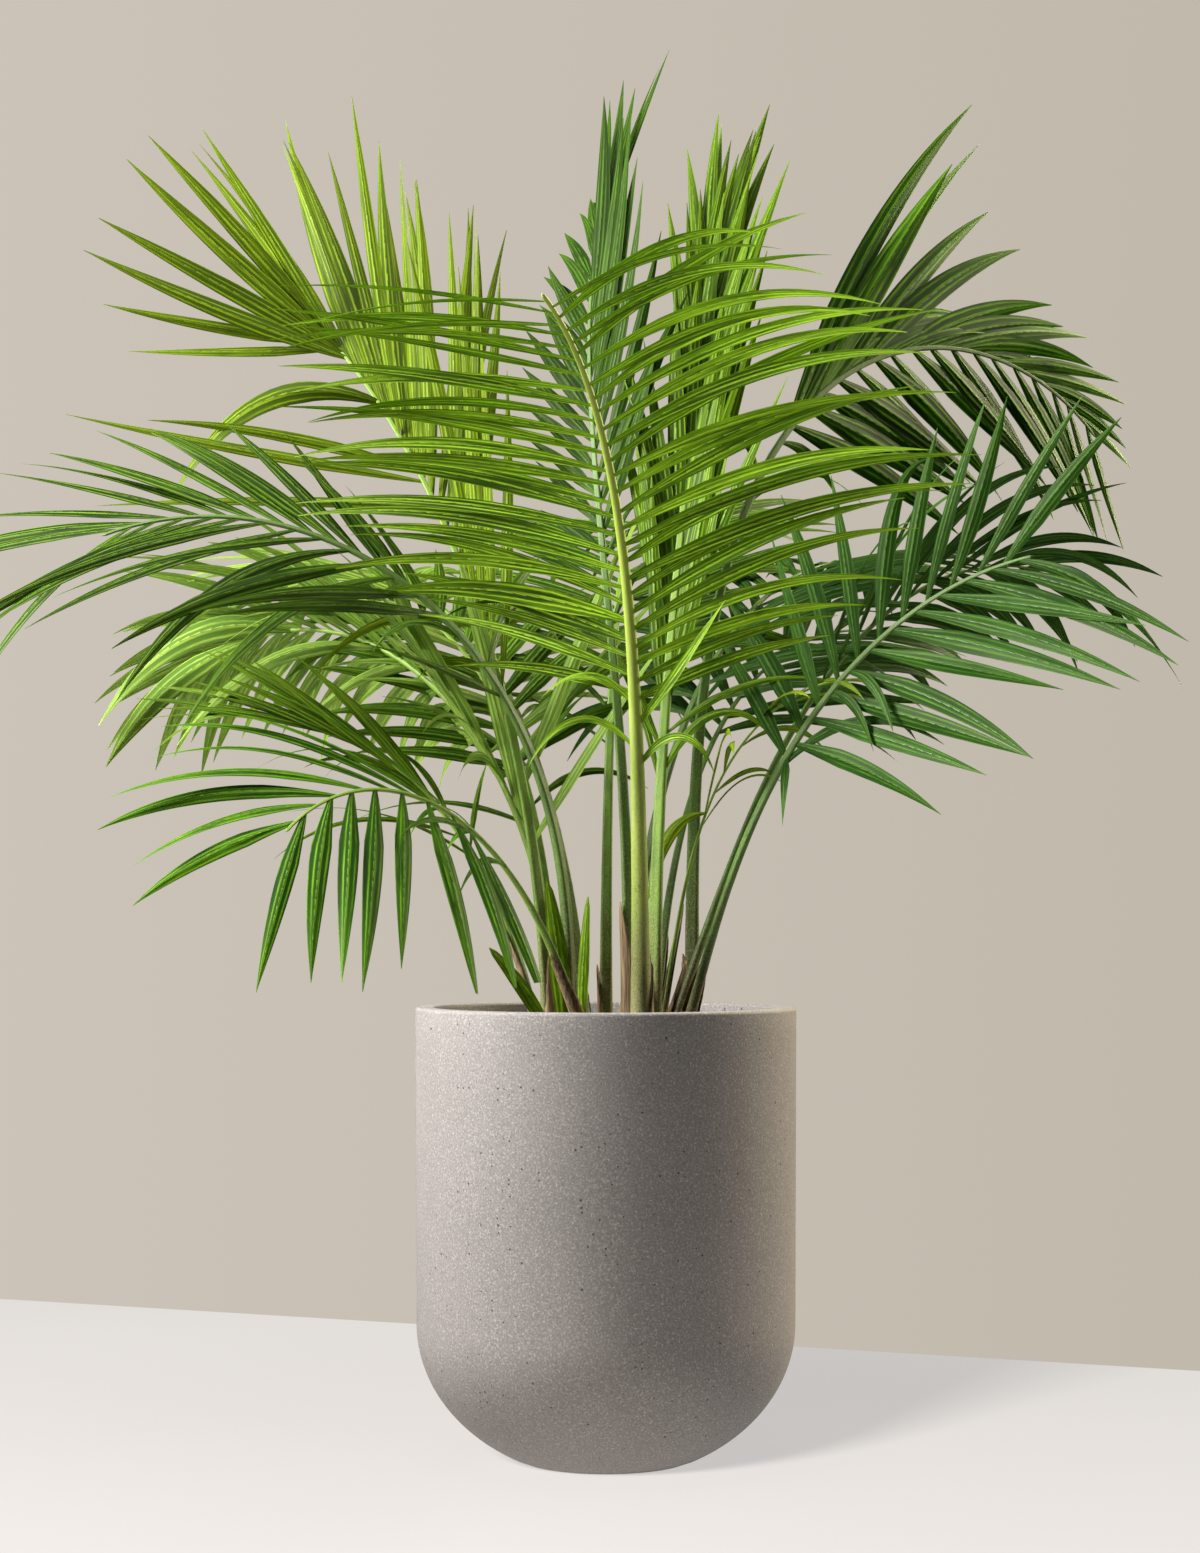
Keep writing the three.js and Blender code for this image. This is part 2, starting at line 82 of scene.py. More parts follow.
FRONDS = {
    "front_tall": ((29, -58), 655, (2, 72), 2.7, -104, -10, 0.42, 26, 290, 9.4, "fresh", dict(
        ends=(0.52, 0.85), width=11.5, splay=(66, 72), skew=(0, 12), limp=(0.9, 0.55),
        stray=1.1, broad={7: 1.9, 9: 1.7}, dim=((0.2, 0), (1.0, 0)), rind="olive")),
    "right_front": ((66, 2), 538, (16, 83), 1.7, -30, -8, 0.46, 11, 200, 6.2, "deep", dict(
        ends=(0.72, 0.88), splay=(70, 30), sag=0.2, roll=80, skew=(2, -7), lop=(0.16, 0.14),
        uneven=0.35, fringe=1, rind="dark")),
    "left_droop": ((-17, -38), 412, (23, 134), 1.8, 218, 6, 0.5, 8, 208, 5.4, "bright", dict(
        ends=(1.0, 0.66), splay=(68, 28), lift=-4, roll=-38, skew=(-36, 4))),
    "left_high": ((-48, 12), 722, (3, 49), 1.1, 135, 0, 0.55, 17, 355, 6.5, "yellow", dict(
        ends=(0.9, 0.85), width=15, splay=(42, 12), lift=2, sag=0.05, roll=-36, skew=(-12, -6),
        lop=(0.0, 0.1), begins=(1.1, 0.0), stray=1.1)),
    "left_arch": ((-31, -2), 700, (-2, 112), 1.47, 168, 16, 0.54, 13, 240, 7.5, "mid", dict(
        ends=(0.7, 0.9), width=15, splay=(46, 22), lift=6, sag=0.3, roll=-40, skew=(-18, -2),
        lop=(-0.25, -0.05), limp=(1.3, 0.9), stray=0.8, dim=((0.2, 0.9), (0.1, 0.8)),
        rind="dark")),
    "right_high": ((74, 52), 995, (0, 139), 2.08, 63, -37, 0.56, 17, 198, 7, "bright", dict(
        ends=(1.65, 0.5), width=19, splay=(40, 24), lift=5, sag=0.35, roll=84, skew=(26, 8),
        lop=(-0.35, 0.3), taper=(1.5, 0.7), dim=((0, 0), (1.0, 1.0)), rind="dark")),
    "spear_fan": ((40, -28), 720, (0, 32), 1.2, 57, 22, 0.36, 20, 265, 7.5, "spring", dict(
        ends=(0.85, 0.8), splay=(12, 4), lift=4, sag=0.06, skew=(3, 3), stray=1.1)),
    "centre_back": ((20, -10), 820, (0, 45), 1.5, 144, -70, 0.5, 15, 215, 6.5, "shade", dict(
        ends=(0.5, 0.92), width=15, splay=(30, 9), lift=-8, sag=0.12, roll=-40,
        skew=(-8, -9), lop=(0.35, 0.35), stray=1.1, rind="dark")),
    "left_mid": ((-42, 25), 680, (0, 116), 1.15, 144, -8, 0.38, 19, 225, 6, "dusty", dict(
        ends=(0.75, 0.7), width=17, splay=(56, 10), lift=0, sag=0.62, roll=40)),
    "left_young": ((-55, -18), 385, (13, 84), 1.5, 168, -6, 0.52, 8, 182, 4.5, "spring", dict(
        ends=(0.8, 0.8), width=10, splay=(8, 4), lift=4, sag=0.3, roll=-40)),
    "right_back": ((53, 24), 632, (22, 99), 2.4, 28, 4, 0.4, 15, 205, 6, "deep", dict(
        ends=(0.8, 0.7), splay=(58, 16), lift=0, sag=0.7, roll=-50, begins=(0.2, 0.2),
        fringe=0, rind="dark")),
    "thin_right": ((46, 16), 385, (9, 98), 2.8, -22, 2, 0.5, 4, 120, 2.8, "yellow", dict(
        ends=(0.6, 0.6), width=9, splay=(60, 20), lift=0, sag=1.0, fringe=2)),
    "back_left": ((-18, 70), 720, (8, 100), 1.3, 122, 8, 0.42, 18, 235, 6.2, "dusty", {}),
    "back_centre": ((0, 85), 740, (6, 96), 1.5, 88, -6, 0.44, 18, 240, 6.4, "mid", {}),
    "back_right": ((18, 58), 700, (8, 98), 1.4, 58, -8, 0.42, 17, 230, 6.2, "deep", dict(
        fringe=1, rind="dark")),
    "inner_left": ((-40, 60), 520, (10, 80), 1.8, 112, 30, 0.45, 13, 180, 5, "mid", dict(
        ends=(0.8, 0.7), width=15, splay=(66, 22), lift=6, sag=0.5, roll=-25)),
    "inner_right": ((42, 80), 500, (12, 84), 1.8, 66, -30, 0.45, 12, 180, 5, "deep", dict(
        ends=(0.8, 0.7), width=15, splay=(66, 22), lift=6, sag=0.5, roll=25,
        begins=(0.16, 0.16), fringe=0, rind="dark")),
}
FRONDS = {name: {**USUAL, **dict(zip(COLUMNS, row)), **own}
          for name, (*row, own) in FRONDS.items()}

# Undivided young leaves: foot, length, width, lean at foot and tip, side they lean to, and
# side that their face is turned to
YOUNG_LEAVES = {
    "young_leaf_a": ((-35, -27), 132, 17, (2, 12), 200, -80),
    "young_leaf_b": ((-46, -26), 92, 13, (26, 46), 196, -60),
    "young_leaf_c": ((-21, -17), 118, 10, (2, 10), 60, -110),
}
YOUNG_STEPS = 14

# Fronds that each clump of leaf bases carries
STEMS = {
    "front": ("front_tall", "spear_fan", "centre_back"),
    "right": ("right_front", "right_high", "right_back", "thin_right"),
    "left": ("left_droop", "left_high", "left_arch", "left_mid", "left_young"),
    "back": ("back_left", "back_centre", "back_right", "inner_left", "inner_right"),
}

SPINE_STEPS = 48
LEAF_STEPS = 20
LAST_LEAF = 0.985
THINNEST_RIB = 1.3
RIB_TAPER = 0.8
RIB_POWER = 0.7
DOWN = np.array([0, 0, -1.0])

# Share of the blade where its leaflets are longest, and the power that puts them there
LONGEST_AT = 0.42
LENGTH_POWER = 0.8

# How leaflets of one frond differ: number of the random draw, and the most that it changes.
# place is in steps along the rib, splay and lift in degrees, the rest are shares.
UNEVEN = dict(splay=(0, 5), lift=(1, 6), length=(2, 0.07), sag=(3, 0.3), place=(4, 0.12),
              sway=(5, 0.16), twist=(6, 0.7), stray=(7, 1), width=(8, 0.14))
STRAY_SAG = 0.8
SHADE_DRAW = 71
AGE_DRAW = 37
FRINGE_DRAW = 20

# Leaflets below the blade: middle value and most that a draw changes it, in this order
FRINGE = dict(splay=(34, 20), length=(135, 55), width=(7.5, 2.5), sag=(1.3, 0.9),
              sway=(0, 0.5), twist=(0, 1.6))

# Outline of a leaflet: width at root and point as a share, and where it is at its widest
ROOT_WIDTH = 0.22
POINT_WIDTH = 0.035
WIDEST = (0.3, 0.38)

# Leaflets that stand out of the rule, for each: where it leaves the spine, the compass side
# that it leans to and its angle from upright, length, width, sag and twist
SINGLES = {
    "left_high": [
        (0.72, 180, 80, 325, 12, -0.08, 0.3),
        (0.68, 184, 87, 300, 11, 0.12, 0.4),
        (0.74, 176, 73, 250, 11, 0.2, -0.3),
        (0.86, 190, 72, 240, 24, 2.3, 1.2),
        (0.97, 180, 92, 195, 12, -0.03, 0.3),
        (0.98, 180, 83, 218, 12, -0.03, -0.3),
        (0.95, 180, 70, 262, 17, -0.06, 0.3),
        (0.96, 180, 60, 258, 17, -0.06, 0.2),
        (0.97, 180, 51, 264, 18, -0.05, -0.2),
        (0.98, 180, 40, 262, 16, -0.04, 0.2),
        (0.975, 180, 31, 240, 15, -0.03, -0.3),
        (0.80, 180, 9, 310, 15, 0.03, 0.2),
        (0.74, 180, 4, 280, 14, 0.03, -0.3),
        (0.70, 180, 1, 285, 14, 0.03, 0.4),
        (0.62, 0, 1, 300, 14, 0.03, 0.2),
        (0.58, 0, 3, 312, 13, 0.04, -0.2),
        (0.50, 180, 4, 320, 14, 0.05, 0.2),
        (0.46, 180, 2, 300, 13, 0.05, -0.3),
        (0.53, 180, 9, 330, 14, 0.05, 0.4),
        (0.42, 0, 3, 280, 12, 0.08, 0.5),
    ],
    "left_mid": [
        (0.30, 0, 22, 260, 16, 0.15, 0.5),
        (0.34, 0, 38, 240, 15, 0.2, -0.4),
        (0.27, 180, 12, 250, 16, 0.1, 0.3),
        (0.38, 0, 50, 230, 15, 0.3, 0.6),
        (0.24, 0, 30, 235, 14, 0.2, -0.5),
        (0.32, 180, 30, 255, 16, 0.1, 0.4),
        (0.80, 185, 78, 215, 27, 1.9, 0.7),
        (0.88, 200, 110, 190, 25, 1.2, -0.6),
        (0.62, 215, 84, 235, 20, 1.5, 0.9),
    ],
    "thin_right": [(0.5, 195, 92, 100, 11, 5.0, 0.5)],
    "right_front": [
        (0.47, 262, 118, 78, 11, 1.6, 0.4),
        (0.6, 300, 104, 82, 9, 1.8, 0.5),
        (0.64, 296, 96, 92, 9, 1.9, -0.4),
    ],
}
SINGLES_FACE = np.array([-0.7, -0.9, 0.35])

# Leaflets whose tips would hang below this are cut straight off there, as the photo shows
TRIMMED = {"left_droop": 404.0}

# Greens dealt to the fronds: light leaflet, dark leaflet, light through it, midrib, tip
TONES = {
    "fresh": ("#82a81e", "#385a0a", "#b0d634", "#84a032", "#68861e"),
    "bright": ("#527e14", "#1e4405", "#80ba20", "#567a20", "#486812"),
    "yellow": ("#6a820f", "#425a0a", "#98b41c", "#6a7c24", "#566812"),
    "spring": ("#587a10", "#2a4a05", "#8cb01a", "#648222", "#506c0e"),
    "mid": ("#4c741a", "#24420a", "#7ca424", "#547228", "#466418"),
    "shade": ("#34540f", "#1f380a", "#527a18", "#3e5c22", "#304c12"),
    # Painted light: this pale grey green is made lighter still, as where these leaflets face the lamp
    "dusty": ("#90b052", "#5c8030", "#b0cc54", "#98b25c", "#7c9944"),
    "deep": ("#345a22", "#1f3e12", "#527e24", "#4a6a32", "#385820"),
}
BLADE_LETS_THROUGH = 0.4
RIB_LETS_THROUGH = 0.3

# Rinds of the stalks: lit green, shaded green, young green towards the blade, scurf at the foot
RINDS = {
    "olive": ("#8c9c44", "#6c7e30", "#90a43c", "#766f56"),
    "leafy": ("#6e9030", "#547224", "#739230", "#655c3e"),
    "dark": ("#52722a", "#3e5822", "#4c6826", "#564c38"),
}

# Table, in metres: its front, its sides, and its far edge behind the pot at left and right
TABLE_FRONT = -1.4
TABLE_SIDE = 3.2
TABLE_FAR_LEFT = 2.05
TABLE_FAR_RIGHT = -0.62

# Lamps: place, what each is aimed at, size, power and tint
LAMPS = {
    "key_from_left": ((-3.18, -0.5, 2.59), (0.0, 0.0, 0.5), (1.44, 1.92), 610.0, "#fffdfa"),
    "near_pot": ((-0.8, -0.245, 0.95), (-0.16, 0.0, 0.3), (0.35, 0.47), 38.0, "#fffdfa"),
    "rim_from_right": ((1.84, 1.06, 1.79), (0.0, 0.0, 0.3), (0.9, 1.3), 152.0, "#fff0d2"),
    "sky_from_above": ((-0.4, -0.3, 5.0), (-0.4, -0.3, 0.0), (2.4, 2.4), 130.0, "#fdfcfa"),
    "window_on_table": ((-2.2, -4.2, 2.25), (0.6, 0.5, 0.0), (1.2, 1.0), 2200.0, "#fff6ec"),
}

# Camera, found from the pot's outline in the photo, which is this many pixels high
CAMERA_PLACE = (-0.005, -2.5, 0.460)
CAMERA_PITCH = 2.54
FOCAL_PIXELS = 2962
PHOTO_HEIGHT_PIXELS = 1553
SENSOR_MM = 36.0


# Small helpers

def colour(text):
    """sRGB hex, such as #7ba02e, to the linear colour that a shader reads."""
    parts = [int(text[i:i + 2], 16) / 255 for i in (1, 3, 5)]
    return [c / 12.92 if c <= 0.04045 else ((c + 0.055) / 1.055) ** 2.4 for c in parts] + [1.0]


def mix(a, b, t):
    return a + (b - a) * t


def unit(v):
    return v / np.maximum(1e-12, np.linalg.norm(v, axis=-1, keepdims=True))


def square_on(way, side):
    """Direction nearest to side that stands square on way."""
    return unit(side - way * np.dot(way, side))


def tilted(lean, heading):
    """Direction that leans from upright to a compass side."""
    return np.array([sin(lean) * cos(heading), sin(lean) * sin(heading), cos(lean)])


def wobble(seed, i):
    """Number from -1 to 1, always the same for the same two whole numbers."""
    x = sin(seed * 12.9898 + i * 78.233) * 43758.5453
    return 2.0 * (x % 1.0) - 1.0


def seed_of(name):
    return sum(ord(letter) for letter in name)


def placed(name, data):
    """Put a new object in the scene."""
    made = bpy.data.objects.new(name, data)
    bpy.context.scene.collection.objects.link(made)
    return made


def circle(radius, height, sides):
    return [(radius * cos(a), radius * sin(a), height)
            for a in np.linspace(0, 2 * pi, sides, endpoint=False)]


def link_mesh(name, points, faces, edges=()):
    """Mesh object at the origin from points in millimetres."""
    mesh = bpy.data.meshes.new(name)
    mesh.from_pydata((np.asarray(points, float) * MM).tolist(), edges, faces)
    mesh.polygons.foreach_set("use_smooth", [True] * len(mesh.polygons))
    mesh.update()
    return placed(name, mesh)


def store(mesh, name, values):
    """Keep a number or a vector for each point of a mesh."""
    values = np.asarray(values, float)
    kind, field = ("FLOAT_VECTOR", "vector") if values.ndim == 2 else ("FLOAT", "value")
    mesh.attributes.new(name, kind, "POINT").data.foreach_set(field, values.ravel())


def skin(rings, ring, first=0, closed=False):
    """Faces between rings of points that follow each other, and over both ends if closed."""
    size, faces = len(ring), []
    for r in range(rings - 1):
        a = first + r * size
        faces += [(a + i, a + j, a + size + j, a + size + i)
                  for i, j in zip(ring, ring[1:] + ring[:1])]
    if closed:
        last = first + (rings - 1) * size
        faces += [tuple(first + i for i in reversed(ring)), tuple(last + i for i in ring)]
    return faces


def feed(tree, node, inputs):
    """Set inputs of a node, each to a value or from a socket."""
    for key, value in inputs.items():
        if isinstance(value, bpy.types.NodeSocket):
            tree.links.new(value, node.inputs[key])
        else:
            node.inputs[key].default_value = value


def add(tree, kind, inputs=None, **settings):
    """Add one node, with its settings and its inputs."""
    node = tree.nodes.new(kind)
    for name, value in settings.items():
        setattr(node, name, value)
    feed(tree, node, inputs or {})
    return node


def shade(tree, kind, inputs=None, **settings):
    """Add one shader node and return its first output."""
    return add(tree, f"ShaderNode{kind}", inputs, **settings).outputs[0]


def geo(tree, kind, inputs=None, **settings):
    """Add one geometry node and return its first output."""
    return add(tree, f"GeometryNode{kind}", inputs, **settings).outputs[0]


def maths(tree, operation, *values):
    return shade(tree, "Math", dict(enumerate(values)), operation=operation)


def times(tree, a, b):
    return maths(tree, "MULTIPLY", a, b)


def new_tree(name, sockets):
    """Geometry node tree whose inputs have a number each, or else a kind such as Material.

    Returns it with the sockets that give these inputs, and the one that takes its result.
    """
    tree = bpy.data.node_groups.new(name, "GeometryNodeTree")
    tree.interface.new_socket("Geometry", in_out="INPUT", socket_type="NodeSocketGeometry")
    for label, value in sockets.items():
        kind = value if isinstance(value, str) else type(value).__name__.title()
        socket = tree.interface.new_socket(label, in_out="INPUT", socket_type=f"NodeSocket{kind}")
        if kind != value:
            socket.default_value = value
    tree.interface.new_socket("Geometry", in_out="OUTPUT", socket_type="NodeSocketGeometry")
    return tree, add(tree, "NodeGroupInput").outputs, add(tree, "NodeGroupOutput").inputs[0]


def bake_nodes(piece, tree, values):
    """Run a node tree on a piece, and keep its result as the piece's plain mesh."""
    modifier = piece.modifiers.new(tree.name, "NODES")
    modifier.node_group = tree
    for item in tree.interface.items_tree:
        if item.name in values:
            modifier[item.identifier] = values[item.name]
    depsgraph = bpy.context.evaluated_depsgraph_get()
    mesh = bpy.data.meshes.new_from_object(piece.evaluated_get(depsgraph), depsgraph=depsgraph)
    piece.modifiers.remove(modifier)
    old = piece.data
    piece.data = mesh
    mesh.name = old.name
    bpy.data.meshes.remove(old)


# The rule of a frond

def direction(frond, s):
    """Along the spine, upper side and right-hand side of the blade at share s of the spine."""
    lean = radians(mix(*frond["lean"], s ** frond["bend"]))
    heading = radians(frond["heading"] + frond["turn"] * s)
    along = tilted(lean, heading)
    up = np.array([-cos(lean) * cos(heading), -cos(lean) * sin(heading), sin(lean)])
    side = np.cross(along, up)
    roll = radians(frond["roll"])
    upper = cos(roll) * up + sin(roll) * side
    across = cos(roll) * side - sin(roll) * up
    return along, upper, across


def spine_of(frond):
    points = [np.array([*frond["foot"], STEM_TOP + GAP], float)]
    for i in range(SPINE_STEPS):
        along = direction(frond, (i + 0.5) / SPINE_STEPS)[0]
        points.append(points[-1] + along * frond["length"] / SPINE_STEPS)
    return np.array(points)


def point_at(spine, s):
    k = min(len(spine) - 2, int(s * (len(spine) - 1)))
    return spine[k] + (spine[k + 1] - spine[k]) * (s * (len(spine) - 1) - k)


def rib_radius(frond, s):
    return max(THINNEST_RIB, frond["stout"] * (1 - RIB_TAPER * s ** RIB_POWER))


def vary(what, seed, k, amount=1):
    """How far leaflet k differs from the rule in one respect."""
    draw, most = UNEVEN[what]
    return most * amount * wobble(seed + draw, k)


def leaflet_lines(name, frond):
    """Middle line, upper sides, half widths and shares along of each leaflet of a frond."""
    spine, seed, lines = spine_of(frond), seed_of(name), []
    uneven = frond["uneven"]
    for i in range(frond["pairs"]):
        for side in (-1, 1):
            right = side > 0
            k = 2 * i + right
            # The two leaflets of a pair leave the rib half a step apart
            step = i + 0.5 + 0.25 * side + vary("place", seed, k, uneven)
            t = min(1.0, max(0.0, step / frond["pairs"]))
            if t < frond["begins"][right]:
                continue
            s = mix(frond["bare"], LAST_LEAF, t)
            along, upper, across = direction(frond, s)
            splay = radians(mix(*frond["splay"], t) + side * mix(*frond["skew"], t)
                            + vary("splay", seed, k, uneven))
            lift = radians(frond["lift"] + vary("lift", seed, k, uneven))
            way = cos(splay) * along + sin(splay) * (cos(lift) * side * across + sin(lift) * upper)
            share = frond["ends"][t >= LONGEST_AT]
            length = frond["leaf"] * mix(share, 1, sin(pi * t ** LENGTH_POWER))
            length *= (1 + vary("length", seed, k)) * (1 + side * mix(*frond["lop"], t))
            sag = frond["sag"] * (1 + vary("sag", seed, k)) * frond["limp"][right]
            twist = vary("twist", seed, k)
            if vary("stray", seed, k) > frond["stray"]:
                sag, twist = sag + STRAY_SAG, 2 * twist
            width = frond["width"] * (0.8 + 0.2 * sin(pi * min(1, t + 0.1)))
            width *= (1 + vary("width", seed, k)) * frond["broad"].get(k, 1)
            # Painted shade for this side of the blade, from its start to its tip
            width *= mix(*frond["taper"], t)
            dim = mix(*frond["dim"][right], t ** 0.7)
            lines.append(leaflet(point_at(spine, s), way, square_on(way, upper), length, width,
                                 sag, vary("sway", seed, k), twist, k, TRIMMED.get(name), dim))
    return lines + fringe_lines(name, frond, spine) + single_lines(name, spine)


def fringe_lines(name, frond, spine):
    """Thin weak leaflets below the blade, that hang and curl."""
    seed, lines = seed_of(name) + FRINGE_DRAW, []
    for k in range(frond["fringe"]):
        side = -1 if k % 2 else 1
        s = frond["bare"] * (LAST_LEAF - 0.065 * k + 0.02 * wobble(seed, k))
        along, upper, across = direction(frond, s)
        splay, *sizes = [middle + most * wobble(seed + draw, k)
                         for draw, (middle, most) in enumerate(FRINGE.values(), 1)]
        splay = radians(splay)
        way = cos(splay) * along + sin(splay) * side * across
        lines.append(leaflet(point_at(spine, s), way, square_on(way, upper), *sizes, 90 + k))
    return lines


def single_lines(name, spine):
    lines = []
    for k, (s, heading, lean, length, width, sag, twist) in enumerate(SINGLES.get(name, ())):
        way = tilted(radians(lean), radians(heading))
        lines.append(leaflet(point_at(spine, s), way, square_on(way, SINGLES_FACE), length,
                             width, sag, 0.1 * wobble(k, 3), twist, 60 + k))
    return lines


def leaflet(root, way, facing, length, width, sag, sway, twist, k, trim=None, dim=0.0):
    """One leaflet: a line that droops and sways from its root, and what rides on it."""
    points, uppers, shares = [root], [facing], [0.0]
    sideways = np.cross(way, facing)
    for i in range(LEAF_STEPS):
        u = (i + 0.5) / LEAF_STEPS
        step = unit(way + DOWN * sag * u ** 1.3 + sideways * sway * u)
        points.append(points[-1] + step * length / LEAF_STEPS)
        turn = twist * (i + 1) / LEAF_STEPS
        over = square_on(step, facing)
        uppers.append(cos(turn) * over + sin(turn) * np.cross(step, over))
        shares.append((i + 1) / LEAF_STEPS)
        if trim is not None and points[-1][2] < trim:
            break
    u = np.array(shares)
    rise = np.minimum(1, ROOT_WIDTH + (1 - ROOT_WIDTH) * (u / WIDEST[0]) ** 0.85)
    fall = 1 - np.clip((u - WIDEST[1]) / (1 - WIDEST[1]), 0, 1) ** 1.8
    half = width / 2 * np.maximum(POINT_WIDTH, rise * fall)
    return dict(points=np.array(points), uppers=np.array(uppers), half=half, along=u, tone=k,
                dim=dim)


# Leaf strips, by Geometry Nodes

def strip_tree():
    """Turns guide lines into closed, folded leaf blades with their own midrib and tip faces."""
    tree, given, result = new_tree("leaf_strips", {
        "Thickness": 0.05, "Fold": 0.2, "Midrib Share": 0.08, "Tip Share": 0.975,
        "Blade Light": "Material", "Blade Dark": "Material", "Midrib": "Material",
        "Tip": "Material"})

    def named(attribute, kind="FLOAT"):
        return geo(tree, "InputNamedAttribute", {"Name": attribute}, data_type=kind)

    def minus(a, b):
        return maths(tree, "SUBTRACT", a, b)

    def above(a, b):
        return maths(tree, "GREATER_THAN", a, b)

    # Section: an eight-sided lens whose two middle sides are the midrib, folded down at its
    # edges. Of the ring's eight points the outermost are the edges and the middle ones the rib.
    ring = geo(tree, "CurvePrimitiveCircle", {"Resolution": 8, "Radius": 1.0})
    here = add(tree, "ShaderNodeSeparateXYZ", {0: geo(tree, "InputPosition")}).outputs
    size = maths(tree, "ABSOLUTE", here["X"])
    is_edge = above(size, 0.9)
    is_rib = maths(tree, "LESS_THAN", size, 0.1)
    between = minus(minus(1.0, is_edge), is_rib)
    share = maths(tree, "ADD", is_edge, times(tree, between, given["Midrib Share"]))
    across = times(tree, share, maths(tree, "SIGN", here["X"]))
    thick = times(tree, times(tree, maths(tree, "SIGN", here["Y"]), minus(1.0, share)),
                  given["Thickness"])
    folded = minus(times(tree, thick, minus(1.0, is_edge)),
                   times(tree, share, given["Fold"]))
    # The sweep lays the section's X on the guide's upper side, so the blade's width is on Y
    place = shade(tree, "CombineXYZ", {
        "X": folded, "Y": times(tree, across, -1.0), "Z": 0.0})
    for label, value in (("rib_side", is_rib), ("across", across)):
        ring = geo(tree, "StoreNamedAttribute", {
            "Geometry": ring, "Name": label, "Value": value})
    section = geo(tree, "SetPosition", {"Geometry": ring, "Position": place})

    # Blades: the section swept along each guide, as wide as the guide says
    guides = geo(tree, "MeshToCurve", {"Mesh": given["Geometry"]})
    facing = geo(tree, "SetCurveNormal", {
        "Curve": guides, "Normal": named("upper", "FLOAT_VECTOR")}, mode="FREE")
    blades = geo(tree, "CurveToMesh", {
        "Curve": facing, "Profile Curve": section, "Scale": named("half_width"),
        "Fill Caps": True})
    whole = geo(tree, "RealizeInstances", {"Geometry": blades})
    # Both faces of a blade are split along their shorter diagonal, so that they don't cross
    split = geo(tree, "Triangulate", {"Mesh": whole}, quad_method="SHORTEST_DIAGONAL")
    smooth = geo(tree, "SetShadeSmooth", {"Geometry": split})
    at_edge = above(maths(tree, "ABSOLUTE", named("across")), 0.98)
    painted = geo(tree, "SetShadeSmooth", {
        "Geometry": smooth, "Selection": at_edge, "Shade Smooth": False}, domain="EDGE")

    # Finish: light and dark leaflets are dealt by number, then midribs and tips
    for label, chosen in (("Blade Light", True), ("Blade Dark", above(named("shade"), 0.5)),
                          ("Midrib", above(named("rib_side"), 0.4)),
                          ("Tip", above(named("along"), given["Tip Share"]))):
        painted = geo(tree, "SetMaterial", {
            "Geometry": painted, "Selection": chosen, "Material": given[label]})
    tree.links.new(painted, result)
    return tree


def guides_of(name, lines):
    """Guide mesh for leaf_strips: one open chain of edges for each leaf."""
    def joined(key):
        return np.concatenate([line[key] for line in lines])

    edges, start = [], 0
    for line in lines:
        count = len(line["points"])
        edges += [(start + i, start + i + 1) for i in range(count - 1)]
        start += count
    piece = link_mesh(name, joined("points"), [], edges)
    store(piece.data, "upper", joined("uppers"))
    store(piece.data, "half_width", joined("half") * MM)
    store(piece.data, "along", joined("along"))
    for label, rule in (("shade", lambda line: wobble(SHADE_DRAW, line["tone"]) > 0),
                        ("leaf", lambda line: 0.5 + 0.5 * wobble(AGE_DRAW, line["tone"])),
                        ("dim", lambda line: line["dim"])):
        store(piece.data, label, np.concatenate(
            [np.full(len(line["points"]), float(rule(line))) for line in lines]))
    return piece


# Finishes

def new_material(name):
    made = bpy.data.materials.new(name)
    made.use_nodes = True
    made.node_tree.nodes.clear()
    return made, made.node_tree


def finished(made, inputs, through=0.0, glow=None):
    """Close a material with its Principled shader, and a share of light that shines through."""
    tree = made.node_tree
    surface = shade(tree, "BsdfPrincipled", inputs)
    if through:
        lit = shade(tree, "BsdfTranslucent", {"Color": glow})
        surface = shade(tree, "MixShader", {0: through, 1: surface, 2: lit})
    add(tree, "ShaderNodeOutputMaterial", {"Surface": surface})
    return made


def noise(tree, scale, detail=3.0, roughness=0.5, upright=None):
    """Noise of a given scale per metre on the piece's own coordinates, drawn out upright."""
    place = add(tree, "ShaderNodeTexCoord").outputs["Object"]
    if upright:
        place = shade(tree, "Mapping", {"Vector": place, "Scale": (1.0, 1.0, upright)})
    return shade(tree, "TexNoise", {
        "Vector": place, "Scale": scale, "Detail": detail, "Roughness": roughness})


def blend(tree, factor, a, b, blend_type="MIX"):
    """Mix of two colours, each a hex value or a socket."""
    a, b = (colour(c) if isinstance(c, str) else c for c in (a, b))
    node = add(tree, "ShaderNodeMix", {"Factor": factor, 6: a, 7: b},
               data_type="RGBA", blend_type=blend_type)
    return node.outputs[2]


def ramp(tree, factor, low, high):
    """Stretches a factor so that low becomes 0 and high becomes 1."""
    return shade(tree, "MapRange", {"Value": factor, "From Min": low, "From Max": high})


def bump(tree, height, strength, distance, under=None, invert=False):
    """Relief from a height, on top of another one if that is given."""
    inputs = {"Height": height, "Strength": strength, "Distance": distance}
    if under is not None:
        inputs["Normal"] = under
    return shade(tree, "Bump", inputs, invert=invert)


def attribute(tree, name):
    return add(tree, "ShaderNodeAttribute", attribute_name=name).outputs["Fac"]


